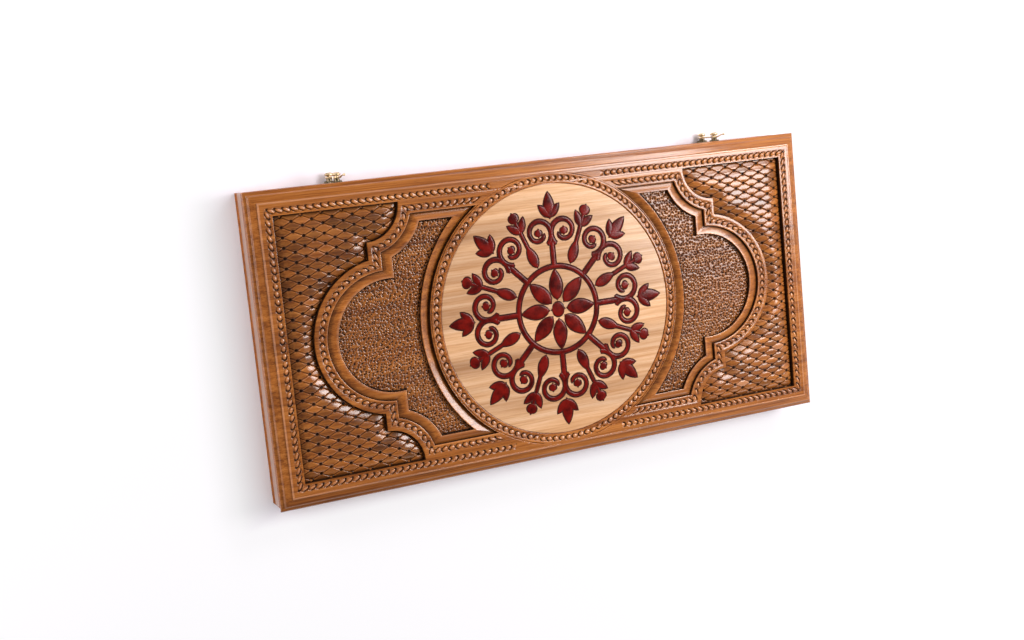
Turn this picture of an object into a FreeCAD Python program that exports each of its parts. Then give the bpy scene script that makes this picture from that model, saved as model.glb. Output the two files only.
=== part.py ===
import FreeCAD, Part
import math
import os

# Flat wooden game box that opens like a book. Millimetres.
# It lies on its back: +Z is up, the carved lid is on top, +X runs along the length,
# the latches are on the +Y side and the hinges on the -Y side.
# The origin is the middle of the underside.

V = FreeCAD.Vector

# Case
body_length = 496.0
body_width = 246.0
wall_thickness = 10.0
base_board_thickness = 8.25
base_rail_height = 11.25
lid_rail_height = 10.25
lid_board_thickness = 8.25
lid_end_overhang = 2.0
lid_side_overhang = 0.5

# Edge moulding of the lid board, from the flat band outwards
quirk_width = 0.7
quirk_depth = 0.8
cove_width = 3.9
cove_drop = 1.2
cove_sag = 0.35
ovolo_width = 3.3
ovolo_drop = 3.2
ovolo_swell = 0.75
edge_fillet_width = 2.1
edge_fillet_height = 1.2

# Flat carved band round the lid
end_band_width = 10.0
side_band_width = 9.7

# Medallion in the middle of the lid
disc_thickness = 3.0
disc_clearance = 0.3
disc_drop = 0.6
ring_width = 9.2
ring_margin = 0.3

# Cartouche: one lobe at each end, a square step and a hollow shoulder
lobe_end_gap = 20.6
lobe_radius = 62.0
step_offset = 11.3
shoulder_radius = 28.8
strap_width = 10.2
bevel_width = 6.0
bevel_stretch = 3.4
ring_bevel_width = 8.2
bevel_groove_depth = 3.4
ridge_drop = 0.8
ground_depth = 3.85
field_depth = 4.2
field_slope_width = 8.0
field_slope_rise = 3.4

# Inlay on the medallion, drawn for a disc of the drawing radius and scaled to the real one
inlay_drawing_radius = 104.0
inlay_thickness = 0.6
inlay_count = 8
hub_radius = 7.0
petal_start = 9.0
petal_length = 24.0
petal_width = 11.0
wreath_radius = 37.0
wreath_width = 2.4
scroll_centre = 62.0
scroll_radius = 15.5
scroll_width = 3.2
scroll_sweep = 235.0
curve_steps = 4
scroll_steps = 7
wreath_steps = 24
leaf_start = 42.0
leaf_length = 27.0
leaf_width = 9.0
bud_start = 72.0
bud_length = 25.0
bud_width = 10.5

# Compartments and what they hold
divider_thickness = 5.0
counter_tray_width = 36.0
keg_height = 20.0
keg_gap = 0.5
keg_sides = 8
keg_columns = 5
keg_rows = 9
tray_clearance = 0.5
card_end_room = 40.0
card_side_room = 3.3
card_thickness = 1.4
cards_per_stack = 8
card_stacks = 3
counter_size = 20.0
counter_height = 14.0
counter_thickness = 3.0
counter_count = 15
counter_gap = 0.2

# Hinges
hinge_end_distance = 75.0
hinge_width = 30.0
leaf_thickness = 0.8
leaf_height = 8.6
knuckle_radius = 1.5
pin_radius = 0.7
knuckle_sides = 12
pin_sides = 8
pin_clearance = 0.1
knuckle_gap = 0.15
barrel_clearance = 0.15
leaf_screw_spacing = 18.0
leaf_screw_height = 6.0

# Screws
screw_head_radius = 1.9
screw_shank_radius = 0.9
screw_length = 7.0
screw_sides = 8
hole_sides = 8
pilot_clearance = 0.25
countersink_clearance = 0.1

# Latches
latch_end_distance = 75.0
pivot_height = 4.75
catch_height = 24.5
rosette_radius = 4.6
rosette_sides = 8
rosette_thickness = 2.4
rosette_rim = 0.9
collar_radius = 2.4
collar_height = 1.0
neck_radius = 1.5
cap_radius = 3.4
cap_height = 3.8
cap_rim_height = 1.6
cap_crown_radius = 1.8
post_shank_length = 7.0
hook_thickness = 1.4
hook_clearance = 0.1
hook_eye_radius = 3.3
hook_arm_width = 3.0
hook_claw_radius = 4.1
claw_clearance = 0.2
tail_width = 2.0
tail_length = 7.5
tail_rise = 2.2
tail_tilt = 18.0

# Worked out from the sizes above
half_length = body_length / 2
half_width = body_width / 2
joint_z = base_board_thickness + base_rail_height
lid_board_z = joint_z + lid_rail_height
top_z = lid_board_z + lid_board_thickness
lid_half_length = half_length + lid_end_overhang
lid_half_width = half_width + lid_side_overhang
moulding_width = quirk_width + cove_width + ovolo_width + edge_fillet_width
recess_half_x = lid_half_length - moulding_width - end_band_width
recess_half_y = lid_half_width - moulding_width - side_band_width
ring_radius = lid_half_width - moulding_width - ring_margin
disc_radius = ring_radius - ring_width
lobe_centre_x = recess_half_x - lobe_end_gap - lobe_radius
step_x = lobe_centre_x + step_offset
inlay_scale = disc_radius / inlay_drawing_radius
ring_ridge_radius = ring_radius + ring_bevel_width
hinge_y = -(half_width + knuckle_radius + barrel_clearance)
cutter_rise = 1.0


def box(x0, x1, y0, y1, z0, z1):
    return Part.makeBox(x1 - x0, y1 - y0, z1 - z0, V(x0, y0, z0))


def prism(points, z0, z1):
    wire = Part.makePolygon([V(x, y, z0) for x, y in points + points[:1]])
    return Part.Face(wire).extrude(V(0, 0, z1 - z0))


def plate(wire, height):
    return Part.Face(wire).extrude(V(0, 0, height))


def upright(radius, z0, z1, x=0.0, y=0.0):
    return Part.makeCylinder(radius, z1 - z0, V(x, y, z0))


def polygon(sides, radius, x=0.0, y=0.0):
    turn = 2 * math.pi / sides
    return [(x + radius * math.cos(turn * (side + 0.5)), y + radius * math.sin(turn * (side + 0.5)))
            for side in range(sides)]


def stacked(sections):
    """Solid with flat faces through polygons of equal side counts, (points, z) from the bottom up."""
    layers = [[V(x, y, z) for x, y in points] for points, z in sections]
    faces = [Part.Face(Part.makePolygon(layer + layer[:1])) for layer in (layers[0], layers[-1])]
    for lower, upper in zip(layers, layers[1:]):
        for index in range(len(lower)):
            after = (index + 1) % len(lower)
            corners = [lower[index], lower[after], upper[after], upper[index], lower[index]]
            faces.append(Part.Face(Part.makePolygon(corners)))
    solid = Part.Solid(Part.Shell(faces))
    if solid.Volume < 0:
        solid.reverse()
    return solid


def across(radius, y0, y1, x, z):
    return Part.makeCylinder(radius, y1 - y0, V(x, y0, z), V(0, 1, 0))


def across_facets(sides, radius, y0, y1, x, z):
    """Bar along Y with flat sides that lie at the radius."""
    bar = prism(polygon(sides, radius / math.cos(math.pi / sides)), y0, y1)
    bar.rotate(V(0, 0, 0), V(1, 0, 0), -90)
    bar.translate(V(x, 0, z))
    return bar


def group(shapes):
    return Part.makeCompound([solid for shape in shapes for solid in shape.Solids])


def save(name, shape):
    if not shape.isValid():
        raise ValueError(name + " is not a valid shape")
    shape.exportStep(os.path.join("parts", name + ".step"))
    print(name, len(shape.Solids), "solids", round(shape.Volume / 1000, 2), "cm3")


# Case boards and rails

def rail_outline(side):
    long_out, short_out = half_length, half_width
    long_in, short_in = half_length - wall_thickness, half_width - wall_thickness
    if side == "front":
        return [(-long_out, short_out), (long_out, short_out), (long_in, short_in), (-long_in, short_in)]
    if side == "back":
        return [(-long_out, -short_out), (long_out, -short_out), (long_in, -short_in), (-long_in, -short_in)]
    if side == "left":
        return [(-long_out, -short_out), (-long_out, short_out), (-long_in, short_in), (-long_in, -short_in)]
    return [(long_out, -short_out), (long_out, short_out), (long_in, short_in), (long_in, -short_in)]


def latch_places():
    return [latch_end_distance - half_length, half_length - latch_end_distance]


def hinge_places():
    return [hinge_end_distance - half_length, half_length - hinge_end_distance]


def leaf_screw_places():
    offsets = (-leaf_screw_spacing / 2, leaf_screw_spacing / 2)
    return [middle + offset for middle in hinge_places() for offset in offsets]


def post_holes(z):
    radius = neck_radius + pilot_clearance
    bottom = half_width - post_shank_length
    return [across_facets(hole_sides, radius, bottom, half_width + 1, x, z) for x in latch_places()]


def screw_holes(z):
    return leaf_screws(z, pilot_clearance)


def drilled(shape, holes):
    for hole in holes:
        shape = shape.cut(hole)
    return shape


def make_base_board():
    board = box(-half_length, half_length, -half_width, half_width, 0, base_board_thickness)
    return drilled(board, post_holes(pivot_height))


def make_rails(z0, height, front_holes, back_holes):
    rails = {}
    for side in ("front", "back", "left", "right"):
        rails[side] = prism(rail_outline(side), z0, z0 + height)
    rails["front"] = drilled(rails["front"], front_holes)
    rails["back"] = drilled(rails["back"], back_holes)
    return rails


# Compartments: a keg tray and a counter tray at each end, the cards in the middle

inner_half_length = half_length - wall_thickness
inner_half_width = half_width - wall_thickness
keg_tray_width = 2 * inner_half_width - divider_thickness - counter_tray_width
keg_pitch = (keg_tray_width - tray_clearance) / keg_rows
keg_diameter = keg_pitch - keg_gap
keg_tray_length = keg_columns * keg_pitch + tray_clearance
cross_divider_x = inner_half_length - keg_tray_length
short_divider_y = inner_half_width - keg_tray_width
card_tray_length = 2 * (cross_divider_x - divider_thickness)
card_lane = 2 * inner_half_width / card_stacks
card_length = card_tray_length - card_end_room
card_width = card_lane - card_side_room


def make_cross_divider(sign):
    near, far = sorted((sign * cross_divider_x, sign * (cross_divider_x - divider_thickness)))
    return box(near, far, -inner_half_width, inner_half_width, base_board_thickness, joint_z)


def make_short_divider(sign):
    near, far = sorted((sign * cross_divider_x, sign * inner_half_length))
    return box(near, far, short_divider_y - divider_thickness, short_divider_y,
               base_board_thickness, joint_z)


def make_kegs():
    kegs = []
    for sign in (-1, 1):
        for column in range(keg_columns):
            for row in range(keg_rows):
                x = sign * (inner_half_length - (column + 0.5) * keg_pitch - tray_clearance / 2)
                y = inner_half_width - (row + 0.5) * keg_pitch - tray_clearance / 2
                kegs.append(prism(polygon(keg_sides, keg_diameter / 2, x, y),
                                  base_board_thickness, base_board_thickness + keg_height))
    return group(kegs)


def make_cards():
    x0 = tray_clearance - card_tray_length / 2
    cards = []
    for stack in range(card_stacks):
        middle = -inner_half_width + (stack + 0.5) * card_lane
        for layer in range(cards_per_stack):
            z0 = base_board_thickness + layer * card_thickness
            cards.append(box(x0, x0 + card_length, middle - card_width / 2, middle + card_width / 2,
                             z0, z0 + card_thickness))
    return group(cards)


def make_counters():
    pitch = counter_thickness + counter_gap
    middle_y = (-inner_half_width + short_divider_y - divider_thickness) / 2
    counters = []
    for sign in (-1, 1):
        for place in range(counter_count):
            x = sign * (cross_divider_x + tray_clearance + (place + 0.5) * pitch)
            counters.append(box(x - counter_thickness / 2, x + counter_thickness / 2,
                                middle_y - counter_size / 2, middle_y + counter_size / 2,
                                base_board_thickness, base_board_thickness + counter_height))
    return group(counters)


# Carved lid board

def edge_cutter(flat_edge, run):
    """Waste outside the moulding of one edge: drawn in X and Z, run along Y."""
    ledge_z = lid_board_z + edge_fillet_height
    quirk = V(flat_edge + quirk_width, 0, top_z - quirk_depth)
    cove_end = V(quirk.x + cove_width, 0, quirk.z - cove_drop)
    ovolo_end = V(cove_end.x + ovolo_width, 0, cove_end.z - ovolo_drop)
    ledge = V(ovolo_end.x, 0, ledge_z)
    lip = V(ovolo_end.x + edge_fillet_width, 0, ledge_z)
    cove_middle = (quirk + cove_end) * 0.5 + V(0, 0, -cove_sag)
    ovolo_middle = (cove_end + ovolo_end) * 0.5 + V(ovolo_swell, 0, ovolo_swell)
    outside = V(lip.x + cutter_rise, 0, ledge_z)
    above = V(outside.x, 0, top_z + cutter_rise)
    start = V(flat_edge, 0, top_z + cutter_rise)
    crest = V(flat_edge, 0, top_z)
    edges = [Part.LineSegment(start, crest).toShape(),
             Part.LineSegment(crest, quirk).toShape(),
             Part.Arc(quirk, cove_middle, cove_end).toShape(),
             Part.Arc(cove_end, ovolo_middle, ovolo_end).toShape(),
             Part.LineSegment(ovolo_end, ledge).toShape(),
             Part.LineSegment(ledge, outside).toShape(),
             Part.LineSegment(outside, above).toShape(),
             Part.LineSegment(above, start).toShape()]
    face = Part.Face(Part.Wire(edges))
    face.translate(V(0, -run, 0))
    return face.extrude(V(0, 2 * run, 0))


def make_moulded_blank():
    blank = box(-lid_half_length, lid_half_length, -lid_half_width, lid_half_width, lid_board_z, top_z)
    end_cutter = edge_cutter(lid_half_length - moulding_width, lid_half_width + cutter_rise)
    side_cutter = edge_cutter(lid_half_width - moulding_width, lid_half_length + cutter_rise)
    for angle, cutter in ((0, end_cutter), (180, end_cutter), (90, side_cutter), (270, side_cutter)):
        tool = cutter.copy()
        tool.rotate(V(0, 0, 0), V(0, 0, 1), angle)
        blank = blank.cut(tool)
    return blank


def cartouche(inset, shift, z):
    """Closed outline of both cartouches, set in by inset and drawn towards the middle by shift."""
    radius = lobe_radius - inset
    hollow = shoulder_radius + inset
    centre_x = lobe_centre_x - shift
    neck_x = step_x - inset - shift
    hollow_x = step_x - shift
    reach = math.sqrt(hollow ** 2 - inset ** 2)
    lobe_y = math.sqrt(radius ** 2 - (neck_x - centre_x) ** 2)
    shoulder_y = recess_half_y - reach
    top_x = hollow_x - reach
    top_y = recess_half_y - inset
    middle = math.radians(225)
    hollow_middle = (hollow_x + hollow * math.cos(middle), recess_half_y + hollow * math.sin(middle))
    edges = []
    for sx, sy in ((1, 1), (-1, -1)):
        lobe_start = V(sx * neck_x, -sy * lobe_y, z)
        lobe_end = V(sx * neck_x, sy * lobe_y, z)
        lobe_tip = V(sx * (centre_x + radius), 0, z)
        neck_end = V(sx * neck_x, sy * shoulder_y, z)
        shoulder_middle = V(sx * hollow_middle[0], sy * hollow_middle[1], z)
        top_start = V(sx * top_x, sy * top_y, z)
        top_end = V(-sx * top_x, sy * top_y, z)
        far_middle = V(-sx * hollow_middle[0], sy * hollow_middle[1], z)
        far_neck = V(-sx * neck_x, sy * shoulder_y, z)
        far_lobe = V(-sx * neck_x, sy * lobe_y, z)
        edges += [Part.Arc(lobe_start, lobe_tip, lobe_end).toShape(),
                  Part.LineSegment(lobe_end, neck_end).toShape(),
                  Part.Arc(neck_end, shoulder_middle, top_start).toShape(),
                  Part.LineSegment(top_start, top_end).toShape(),
                  Part.Arc(top_end, far_middle, far_neck).toShape(),
                  Part.LineSegment(far_neck, far_lobe).toShape()]
    return Part.Wire(edges)


def field_outline(inset, z):
    """Outline of the field beside the right end of the cartouche, set in by inset."""
    radius = lobe_radius + inset
    hollow = shoulder_radius - inset
    neck_x = step_x + inset
    reach = math.sqrt(hollow ** 2 - inset ** 2)
    lobe_y = math.sqrt(radius ** 2 - (neck_x - lobe_centre_x) ** 2)
    shoulder_y = recess_half_y - reach
    middle = math.radians(225)
    middle_x = step_x + hollow * math.cos(middle)
    middle_y = recess_half_y + hollow * math.sin(middle)
    end_x, end_y = recess_half_x - inset, recess_half_y - inset
    tip = V(lobe_centre_x + radius, 0, z)
    upper = [V(neck_x, lobe_y, z), V(neck_x, shoulder_y, z), V(middle_x, middle_y, z),
             V(step_x - reach, end_y, z), V(end_x, end_y, z)]
    lower = [V(point.x, -point.y, z) for point in upper]
    edges = [Part.Arc(lower[0], tip, upper[0]).toShape(),
             Part.LineSegment(upper[0], upper[1]).toShape(),
             Part.Arc(upper[1], upper[2], upper[3]).toShape(),
             Part.LineSegment(upper[3], upper[4]).toShape(),
             Part.LineSegment(upper[4], lower[4]).toShape(),
             Part.LineSegment(lower[4], lower[3]).toShape(),
             Part.Arc(lower[3], lower[2], lower[1]).toShape(),
             Part.LineSegment(lower[1], lower[0]).toShape()]
    return Part.Wire(edges)


def make_field_waste():
    """What is cut away over the right field: it leaves a flat cushion with a slope all round."""
    low = top_z - field_depth
    cushion = Part.makeLoft([field_outline(0, low), field_outline(field_slope_width, low + field_slope_rise)],
                            True, True)
    return plate(field_outline(0, low), field_depth + cutter_rise).cut(cushion)


def make_ring():
    """Flat ring round the disc with the bevel that climbs from its groove to a sharp ridge."""
    ground = top_z - ground_depth
    ridge = top_z - ridge_drop
    groove = top_z - bevel_groove_depth
    points = [V(0, 0, ground), V(0, 0, top_z), V(ring_radius, 0, top_z), V(ring_radius, 0, groove),
              V(ring_ridge_radius, 0, ridge), V(ring_ridge_radius, 0, ground), V(0, 0, ground)]
    return Part.Face(Part.makePolygon(points)).revolve(V(0, 0, 0), V(0, 0, 1), 360)


def make_lid_board():
    board = make_moulded_blank()
    groove_z = top_z - bevel_groove_depth
    ground_z = top_z - ground_depth
    rise = ground_depth + cutter_rise

    for turn in (0, 180):
        waste = make_field_waste()
        waste.rotate(V(0, 0, 0), V(0, 0, 1), turn)
        board = board.cut(waste)

    strap_inside = cartouche(strap_width, 0, groove_z)
    ridge_inset = strap_width + bevel_width
    ridge = cartouche(ridge_inset, bevel_stretch, top_z - ridge_drop)
    ground = cartouche(ridge_inset, bevel_stretch, ground_z)
    board = board.cut(plate(strap_inside, rise))
    board = board.fuse(Part.makeLoft([strap_inside, ridge], True, True))
    board = board.cut(plate(ground, rise))

    hole = plate(cartouche(strap_width, 0, ground_z), rise)
    board = board.cut(upright(ring_ridge_radius, ground_z, top_z + cutter_rise).common(hole))
    board = board.fuse(make_ring().common(hole))

    seat_z = top_z - disc_drop - disc_thickness
    board = board.cut(upright(disc_radius + disc_clearance, seat_z, top_z + cutter_rise))
    return board.removeSplitter()


def make_disc():
    z0 = top_z - disc_drop - disc_thickness
    return upright(disc_radius, z0, z0 + disc_thickness)


# Inlay: a hub, petals, a wreath, then scrolls with leaves and buds, the same in each eighth

def inlay_prism(points):
    return prism([(x * inlay_scale, y * inlay_scale) for x, y in points], 0, inlay_thickness)


def bow(start, length, width):
    """Points of a shallow arc along X that starts at start and swells to half the width."""
    rise = width / 2
    radius = (length ** 2 / 4 + rise ** 2) / (2 * rise)
    half_angle = math.asin(length / 2 / radius)
    points = []
    for step in range(curve_steps + 1):
        angle = half_angle * (2 * step / curve_steps - 1)
        points.append((start + length / 2 + radius * math.sin(angle),
                       radius * math.cos(angle) - radius + rise))
    return points


def leaf(start, length, width):
    """Pointed leaf along X, from start outwards."""
    upper = bow(start, length, width)
    lower = [(x, -y) for x, y in upper[1:-1]]
    return inlay_prism(upper + lower[::-1])


def curved_band(radius, width, first, last, steps, x=0.0):
    angles = [math.radians(first + (last - first) * step / steps) for step in range(steps + 1)]
    outer = [(x + radius * math.cos(a), radius * math.sin(a)) for a in angles]
    inner = [(x + (radius - width) * math.cos(a), (radius - width) * math.sin(a)) for a in angles]
    return inlay_prism(outer + inner[::-1])


def make_inlay():
    half_sweep = scroll_sweep / 2
    half_turn = 180.0
    pieces = [inlay_prism(polygon(wreath_steps // 2, hub_radius)),
              curved_band(wreath_radius, wreath_width, -half_turn, 0, wreath_steps // 2),
              curved_band(wreath_radius, wreath_width, 0, half_turn, wreath_steps // 2)]
    step = 360 / inlay_count
    for turn in range(inlay_count):
        petal = leaf(petal_start, petal_length, petal_width)
        scroll = curved_band(scroll_radius, scroll_width, -half_sweep, half_sweep, scroll_steps, scroll_centre)
        bud = leaf(bud_start, bud_length, bud_width)
        between = leaf(leaf_start, leaf_length, leaf_width)
        for piece in (petal, scroll, bud):
            piece.rotate(V(0, 0, 0), V(0, 0, 1), turn * step)
        between.rotate(V(0, 0, 0), V(0, 0, 1), (turn + 0.5) * step)
        pieces += [petal, scroll, bud, between]
    whole = pieces[0].multiFuse(pieces[1:]).removeSplitter()
    whole.translate(V(0, 0, top_z - disc_drop))
    return whole


# Hinges: one knuckle of the lid leaf between two of the base leaf

knuckle_length = (hinge_width - 2 * knuckle_gap) / 3


def knuckle_spans(middle, part):
    left = middle - hinge_width / 2
    lid_start = left + knuckle_length + knuckle_gap
    lid_end = lid_start + knuckle_length
    if part == "lid":
        return [(lid_start, lid_end)]
    return [(left, left + knuckle_length), (lid_end + knuckle_gap, left + hinge_width)]


def barrel(sides, radius, x0, x1):
    """Bar on the hinge axis with flat sides that lie at the radius."""
    bar = prism(polygon(sides, radius / math.cos(math.pi / sides)), x0, x1)
    bar.rotate(V(0, 0, 0), V(0, 1, 0), 90)
    bar.translate(V(0, hinge_y, joint_z))
    return bar


def make_screw(clearance):
    """Countersunk screw on the Y axis: head flush at y = 0, shank towards +Y."""
    cone = screw_head_radius - screw_shank_radius
    head = polygon(screw_sides, screw_head_radius + clearance)
    shank = polygon(screw_sides, screw_shank_radius + clearance)
    screw = stacked([(head, 0), (shank, cone), (shank, screw_length)])
    screw.rotate(V(0, 0, 0), V(1, 0, 0), -90)
    return screw


def leaf_screws(z, clearance=0.0):
    screws = []
    for x in leaf_screw_places():
        screw = make_screw(clearance)
        screw.translate(V(x, -half_width - leaf_thickness, z))
        screws.append(screw)
    return screws


def make_leaf(middle, part):
    sign = 1 if part == "lid" else -1
    x0, x1 = middle - hinge_width / 2, middle + hinge_width / 2
    low, high = sorted((joint_z + sign * knuckle_radius / 2, joint_z + sign * leaf_height))
    leaf = box(x0, x1, -half_width - leaf_thickness, -half_width, low, high)
    other = "base" if part == "lid" else "lid"
    for start, end in knuckle_spans(middle, other):
        room = barrel(knuckle_sides, knuckle_radius + barrel_clearance, start - knuckle_gap, end + knuckle_gap)
        leaf = leaf.cut(room)
    for start, end in knuckle_spans(middle, part):
        leaf = leaf.fuse(barrel(knuckle_sides, knuckle_radius, start, end))
    leaf = leaf.cut(barrel(pin_sides, pin_radius + pin_clearance, x0 - 1, x1 + 1))
    return drilled(leaf, leaf_screws(joint_z + sign * leaf_screw_height, countersink_clearance))


def make_pin(middle):
    return barrel(pin_sides, pin_radius, middle - hinge_width / 2, middle + hinge_width / 2)


# Latches: a rosette and a capped post on each half, and a hook that turns on the lower post

def make_rosette():
    """Sloped rosette with a raised collar that the hook runs on."""
    collar = polygon(rosette_sides, collar_radius)
    foot = polygon(rosette_sides, rosette_radius)
    top = rosette_thickness + collar_height
    rosette = stacked([(foot, 0), (foot, rosette_rim), (collar, rosette_thickness), (collar, top)])
    rosette.rotate(V(0, 0, 0), V(1, 0, 0), -90)
    return rosette.cut(across_facets(hole_sides, neck_radius + pilot_clearance, -1, top + 1, 0, 0))


def make_post():
    """Straight round shank and neck under a chamfered cap."""
    neck_top = rosette_thickness + collar_height + hook_thickness + 2 * hook_clearance
    rim = polygon(rosette_sides, cap_radius)
    crown = polygon(rosette_sides, cap_crown_radius)
    cap = stacked([(rim, neck_top), (rim, neck_top + cap_rim_height), (crown, neck_top + cap_height)])
    cap.rotate(V(0, 0, 0), V(1, 0, 0), -90)
    return across(neck_radius, -post_shank_length, neck_top, 0, 0).fuse(cap).removeSplitter()


def placed(shape, x, z):
    copy = shape.copy()
    copy.translate(V(x, half_width, z))
    return copy


def make_hook():
    """Drawn about its pivot: +Z towards the catch post, Y = 0 at its inner face."""
    reach = catch_height - pivot_height
    claw_hole = neck_radius + claw_clearance
    eye = across(hook_eye_radius, 0, hook_thickness, 0, 0)
    claw = across(hook_claw_radius, 0, hook_thickness, 0, reach)
    arm = box(-hook_arm_width / 2, hook_arm_width / 2, 0, hook_thickness,
              hook_eye_radius / 2, reach - hook_claw_radius / 2)
    hook = eye.fuse(claw).fuse(arm)
    slot = across(reach + claw_hole, -1, hook_thickness + 1, 0, 0)
    slot = slot.cut(across(reach - claw_hole, -1, hook_thickness + 1, 0, 0))
    slot = slot.common(box(-2 * hook_claw_radius, 0, -1, hook_thickness + 1, 0, 2 * reach))
    hook = hook.cut(slot).cut(across(claw_hole, -1, hook_thickness + 1, 0, reach))
    hook = hook.cut(across(neck_radius + hook_clearance, -1, hook_thickness + 1, 0, 0))
    return hook.fuse(make_tail(claw_hole, reach)).removeSplitter()


def make_tail(root, reach):
    """Finger tail that leans to +X and bends away from the case past the claw."""
    tip = hook_claw_radius + tail_length
    side = [(0, root), (0, hook_claw_radius), (tail_rise, tip), (tail_rise + hook_thickness, tip),
            (hook_thickness, hook_claw_radius), (hook_thickness, root), (0, root)]
    face = Part.Face(Part.makePolygon([V(-tail_width / 2, y, z) for y, z in side]))
    tail = face.extrude(V(tail_width, 0, 0))
    tail.rotate(V(0, 0, 0), V(0, 1, 0), tail_tilt)
    tail.translate(V(0, 0, reach))
    return tail


def hook_place(x):
    hook = make_hook()
    hook.translate(V(x, half_width + rosette_thickness + collar_height + hook_clearance, pivot_height))
    return hook


def main():
    os.makedirs("parts", exist_ok=True)
    save("base_board", make_base_board())
    base_screw_z = joint_z - leaf_screw_height
    lid_screw_z = joint_z + leaf_screw_height
    base_rails = make_rails(base_board_thickness, base_rail_height, [], screw_holes(base_screw_z))
    lid_rails = make_rails(joint_z, lid_rail_height, post_holes(catch_height), screw_holes(lid_screw_z))
    for side in ("front", "back", "left", "right"):
        save("base_rail_" + side, base_rails[side])
        save("lid_rail_" + side, lid_rails[side])
    for sign, side in ((-1, "left"), (1, "right")):
        save("cross_divider_" + side, make_cross_divider(sign))
        save("tray_divider_" + side, make_short_divider(sign))
    save("number_kegs", make_kegs())
    save("game_cards", make_cards())
    save("counters", make_counters())

    save("lid_board", make_lid_board())
    save("medallion_disc", make_disc())
    save("medallion_inlay", make_inlay())

    save("hinge_leaves_base", group([make_leaf(middle, "base") for middle in hinge_places()]))
    save("hinge_leaves_lid", group([make_leaf(middle, "lid") for middle in hinge_places()]))
    save("hinge_pins", group([make_pin(middle) for middle in hinge_places()]))
    save("hinge_screws_base", group(leaf_screws(base_screw_z)))
    save("hinge_screws_lid", group(leaf_screws(lid_screw_z)))

    rosette, post = make_rosette(), make_post()
    save("rosettes_base", group([placed(rosette, x, pivot_height) for x in latch_places()]))
    save("rosettes_lid", group([placed(rosette, x, catch_height) for x in latch_places()]))
    save("pivot_posts", group([placed(post, x, pivot_height) for x in latch_places()]))
    save("catch_posts", group([placed(post, x, catch_height) for x in latch_places()]))
    for x, side in zip(latch_places(), ("left", "right")):
        save("hook_" + side, hook_place(x))


main()
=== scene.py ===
# %% [markdown]
# A carved game box
# This lesson dresses a flat wooden game box: a carved lid with lattice fields, a stippled
# cartouche and a let-in medallion, held shut by two brass hooks. The working model comes in as a
# fixed frame, and every piece made here is built round it, in metres, and rides on one of its bodies.

import math

import bpy
import numpy as np
from mathutils import Matrix, Vector
from mathutils.kdtree import KDTree


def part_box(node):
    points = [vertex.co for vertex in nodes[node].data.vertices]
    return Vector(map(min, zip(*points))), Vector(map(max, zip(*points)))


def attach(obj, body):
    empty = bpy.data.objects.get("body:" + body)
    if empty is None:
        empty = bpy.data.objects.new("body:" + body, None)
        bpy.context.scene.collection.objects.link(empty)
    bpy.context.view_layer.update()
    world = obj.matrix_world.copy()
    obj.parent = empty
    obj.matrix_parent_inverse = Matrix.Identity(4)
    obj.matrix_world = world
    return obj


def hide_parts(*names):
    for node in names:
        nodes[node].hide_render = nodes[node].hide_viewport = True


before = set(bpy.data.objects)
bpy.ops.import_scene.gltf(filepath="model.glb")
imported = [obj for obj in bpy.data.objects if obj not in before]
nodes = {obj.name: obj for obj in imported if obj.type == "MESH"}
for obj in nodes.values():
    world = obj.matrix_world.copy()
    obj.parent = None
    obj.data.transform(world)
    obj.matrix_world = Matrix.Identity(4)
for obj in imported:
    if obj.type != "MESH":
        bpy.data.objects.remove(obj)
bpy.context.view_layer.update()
mm = 0.001

# %% [markdown]
# Most of this box is made of two kinds of surface: a moulding, which is one outline carried along
# a path, and a carved field, which is a sheet with a height at each point. Both are grids of
# points, so one helper that turns a grid into a mesh serves nearly every piece. Two values go with
# each point: hollow says how deep in a cut it lies, where stain and painted shade gather, and tone
# says how much paler or darker the wood is there, partly at random and partly as painted highlight
# and shade.

# %% Grid helpers
scene = bpy.context.scene
CREASE = math.radians(32)
SIDES = {-1: "left", 1: "right"}


def make_piece(name, points, faces, hollow=None, crease=CREASE, tone=None):
    """A smooth piece whose edges stay sharp where they turn by more than crease."""
    mesh = bpy.data.meshes.new(name)
    mesh.from_pydata(np.reshape(points, (-1, 3)).tolist(), [], [list(face) for face in faces])
    for key, values in (("hollow", hollow), ("tone", tone)):
        if values is not None:
            attribute = mesh.attributes.new(key, "FLOAT", "POINT")
            attribute.data.foreach_set("value", values.astype(np.float32).ravel())
    mesh.shade_smooth()
    mesh.set_sharp_from_angle(angle=crease)
    piece = bpy.data.objects.new(name, mesh)
    scene.collection.objects.link(piece)
    return piece


def grid_faces(rows, columns, close_rows=False, close_columns=False, flip=False):
    index = np.arange(rows * columns).reshape(rows, columns)
    if close_rows:
        index = np.vstack([index, index[:1]])
    if close_columns:
        index = np.hstack([index, index[:, :1]])
    corners = [index[:-1, :-1], index[1:, :-1], index[1:, 1:], index[:-1, 1:]]
    faces = np.stack(corners, axis=-1).reshape(-1, 4)
    return faces[:, ::-1] if flip else faces


# %% [markdown]
# Sizes come from the frame where it has them. The lid board gives the outer edges and the top, the
# disc gives the medallion. The rest are the carver's own sizes, in millimetres, measured inwards
# from the outer edge or from the outline of the cartouche.

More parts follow.
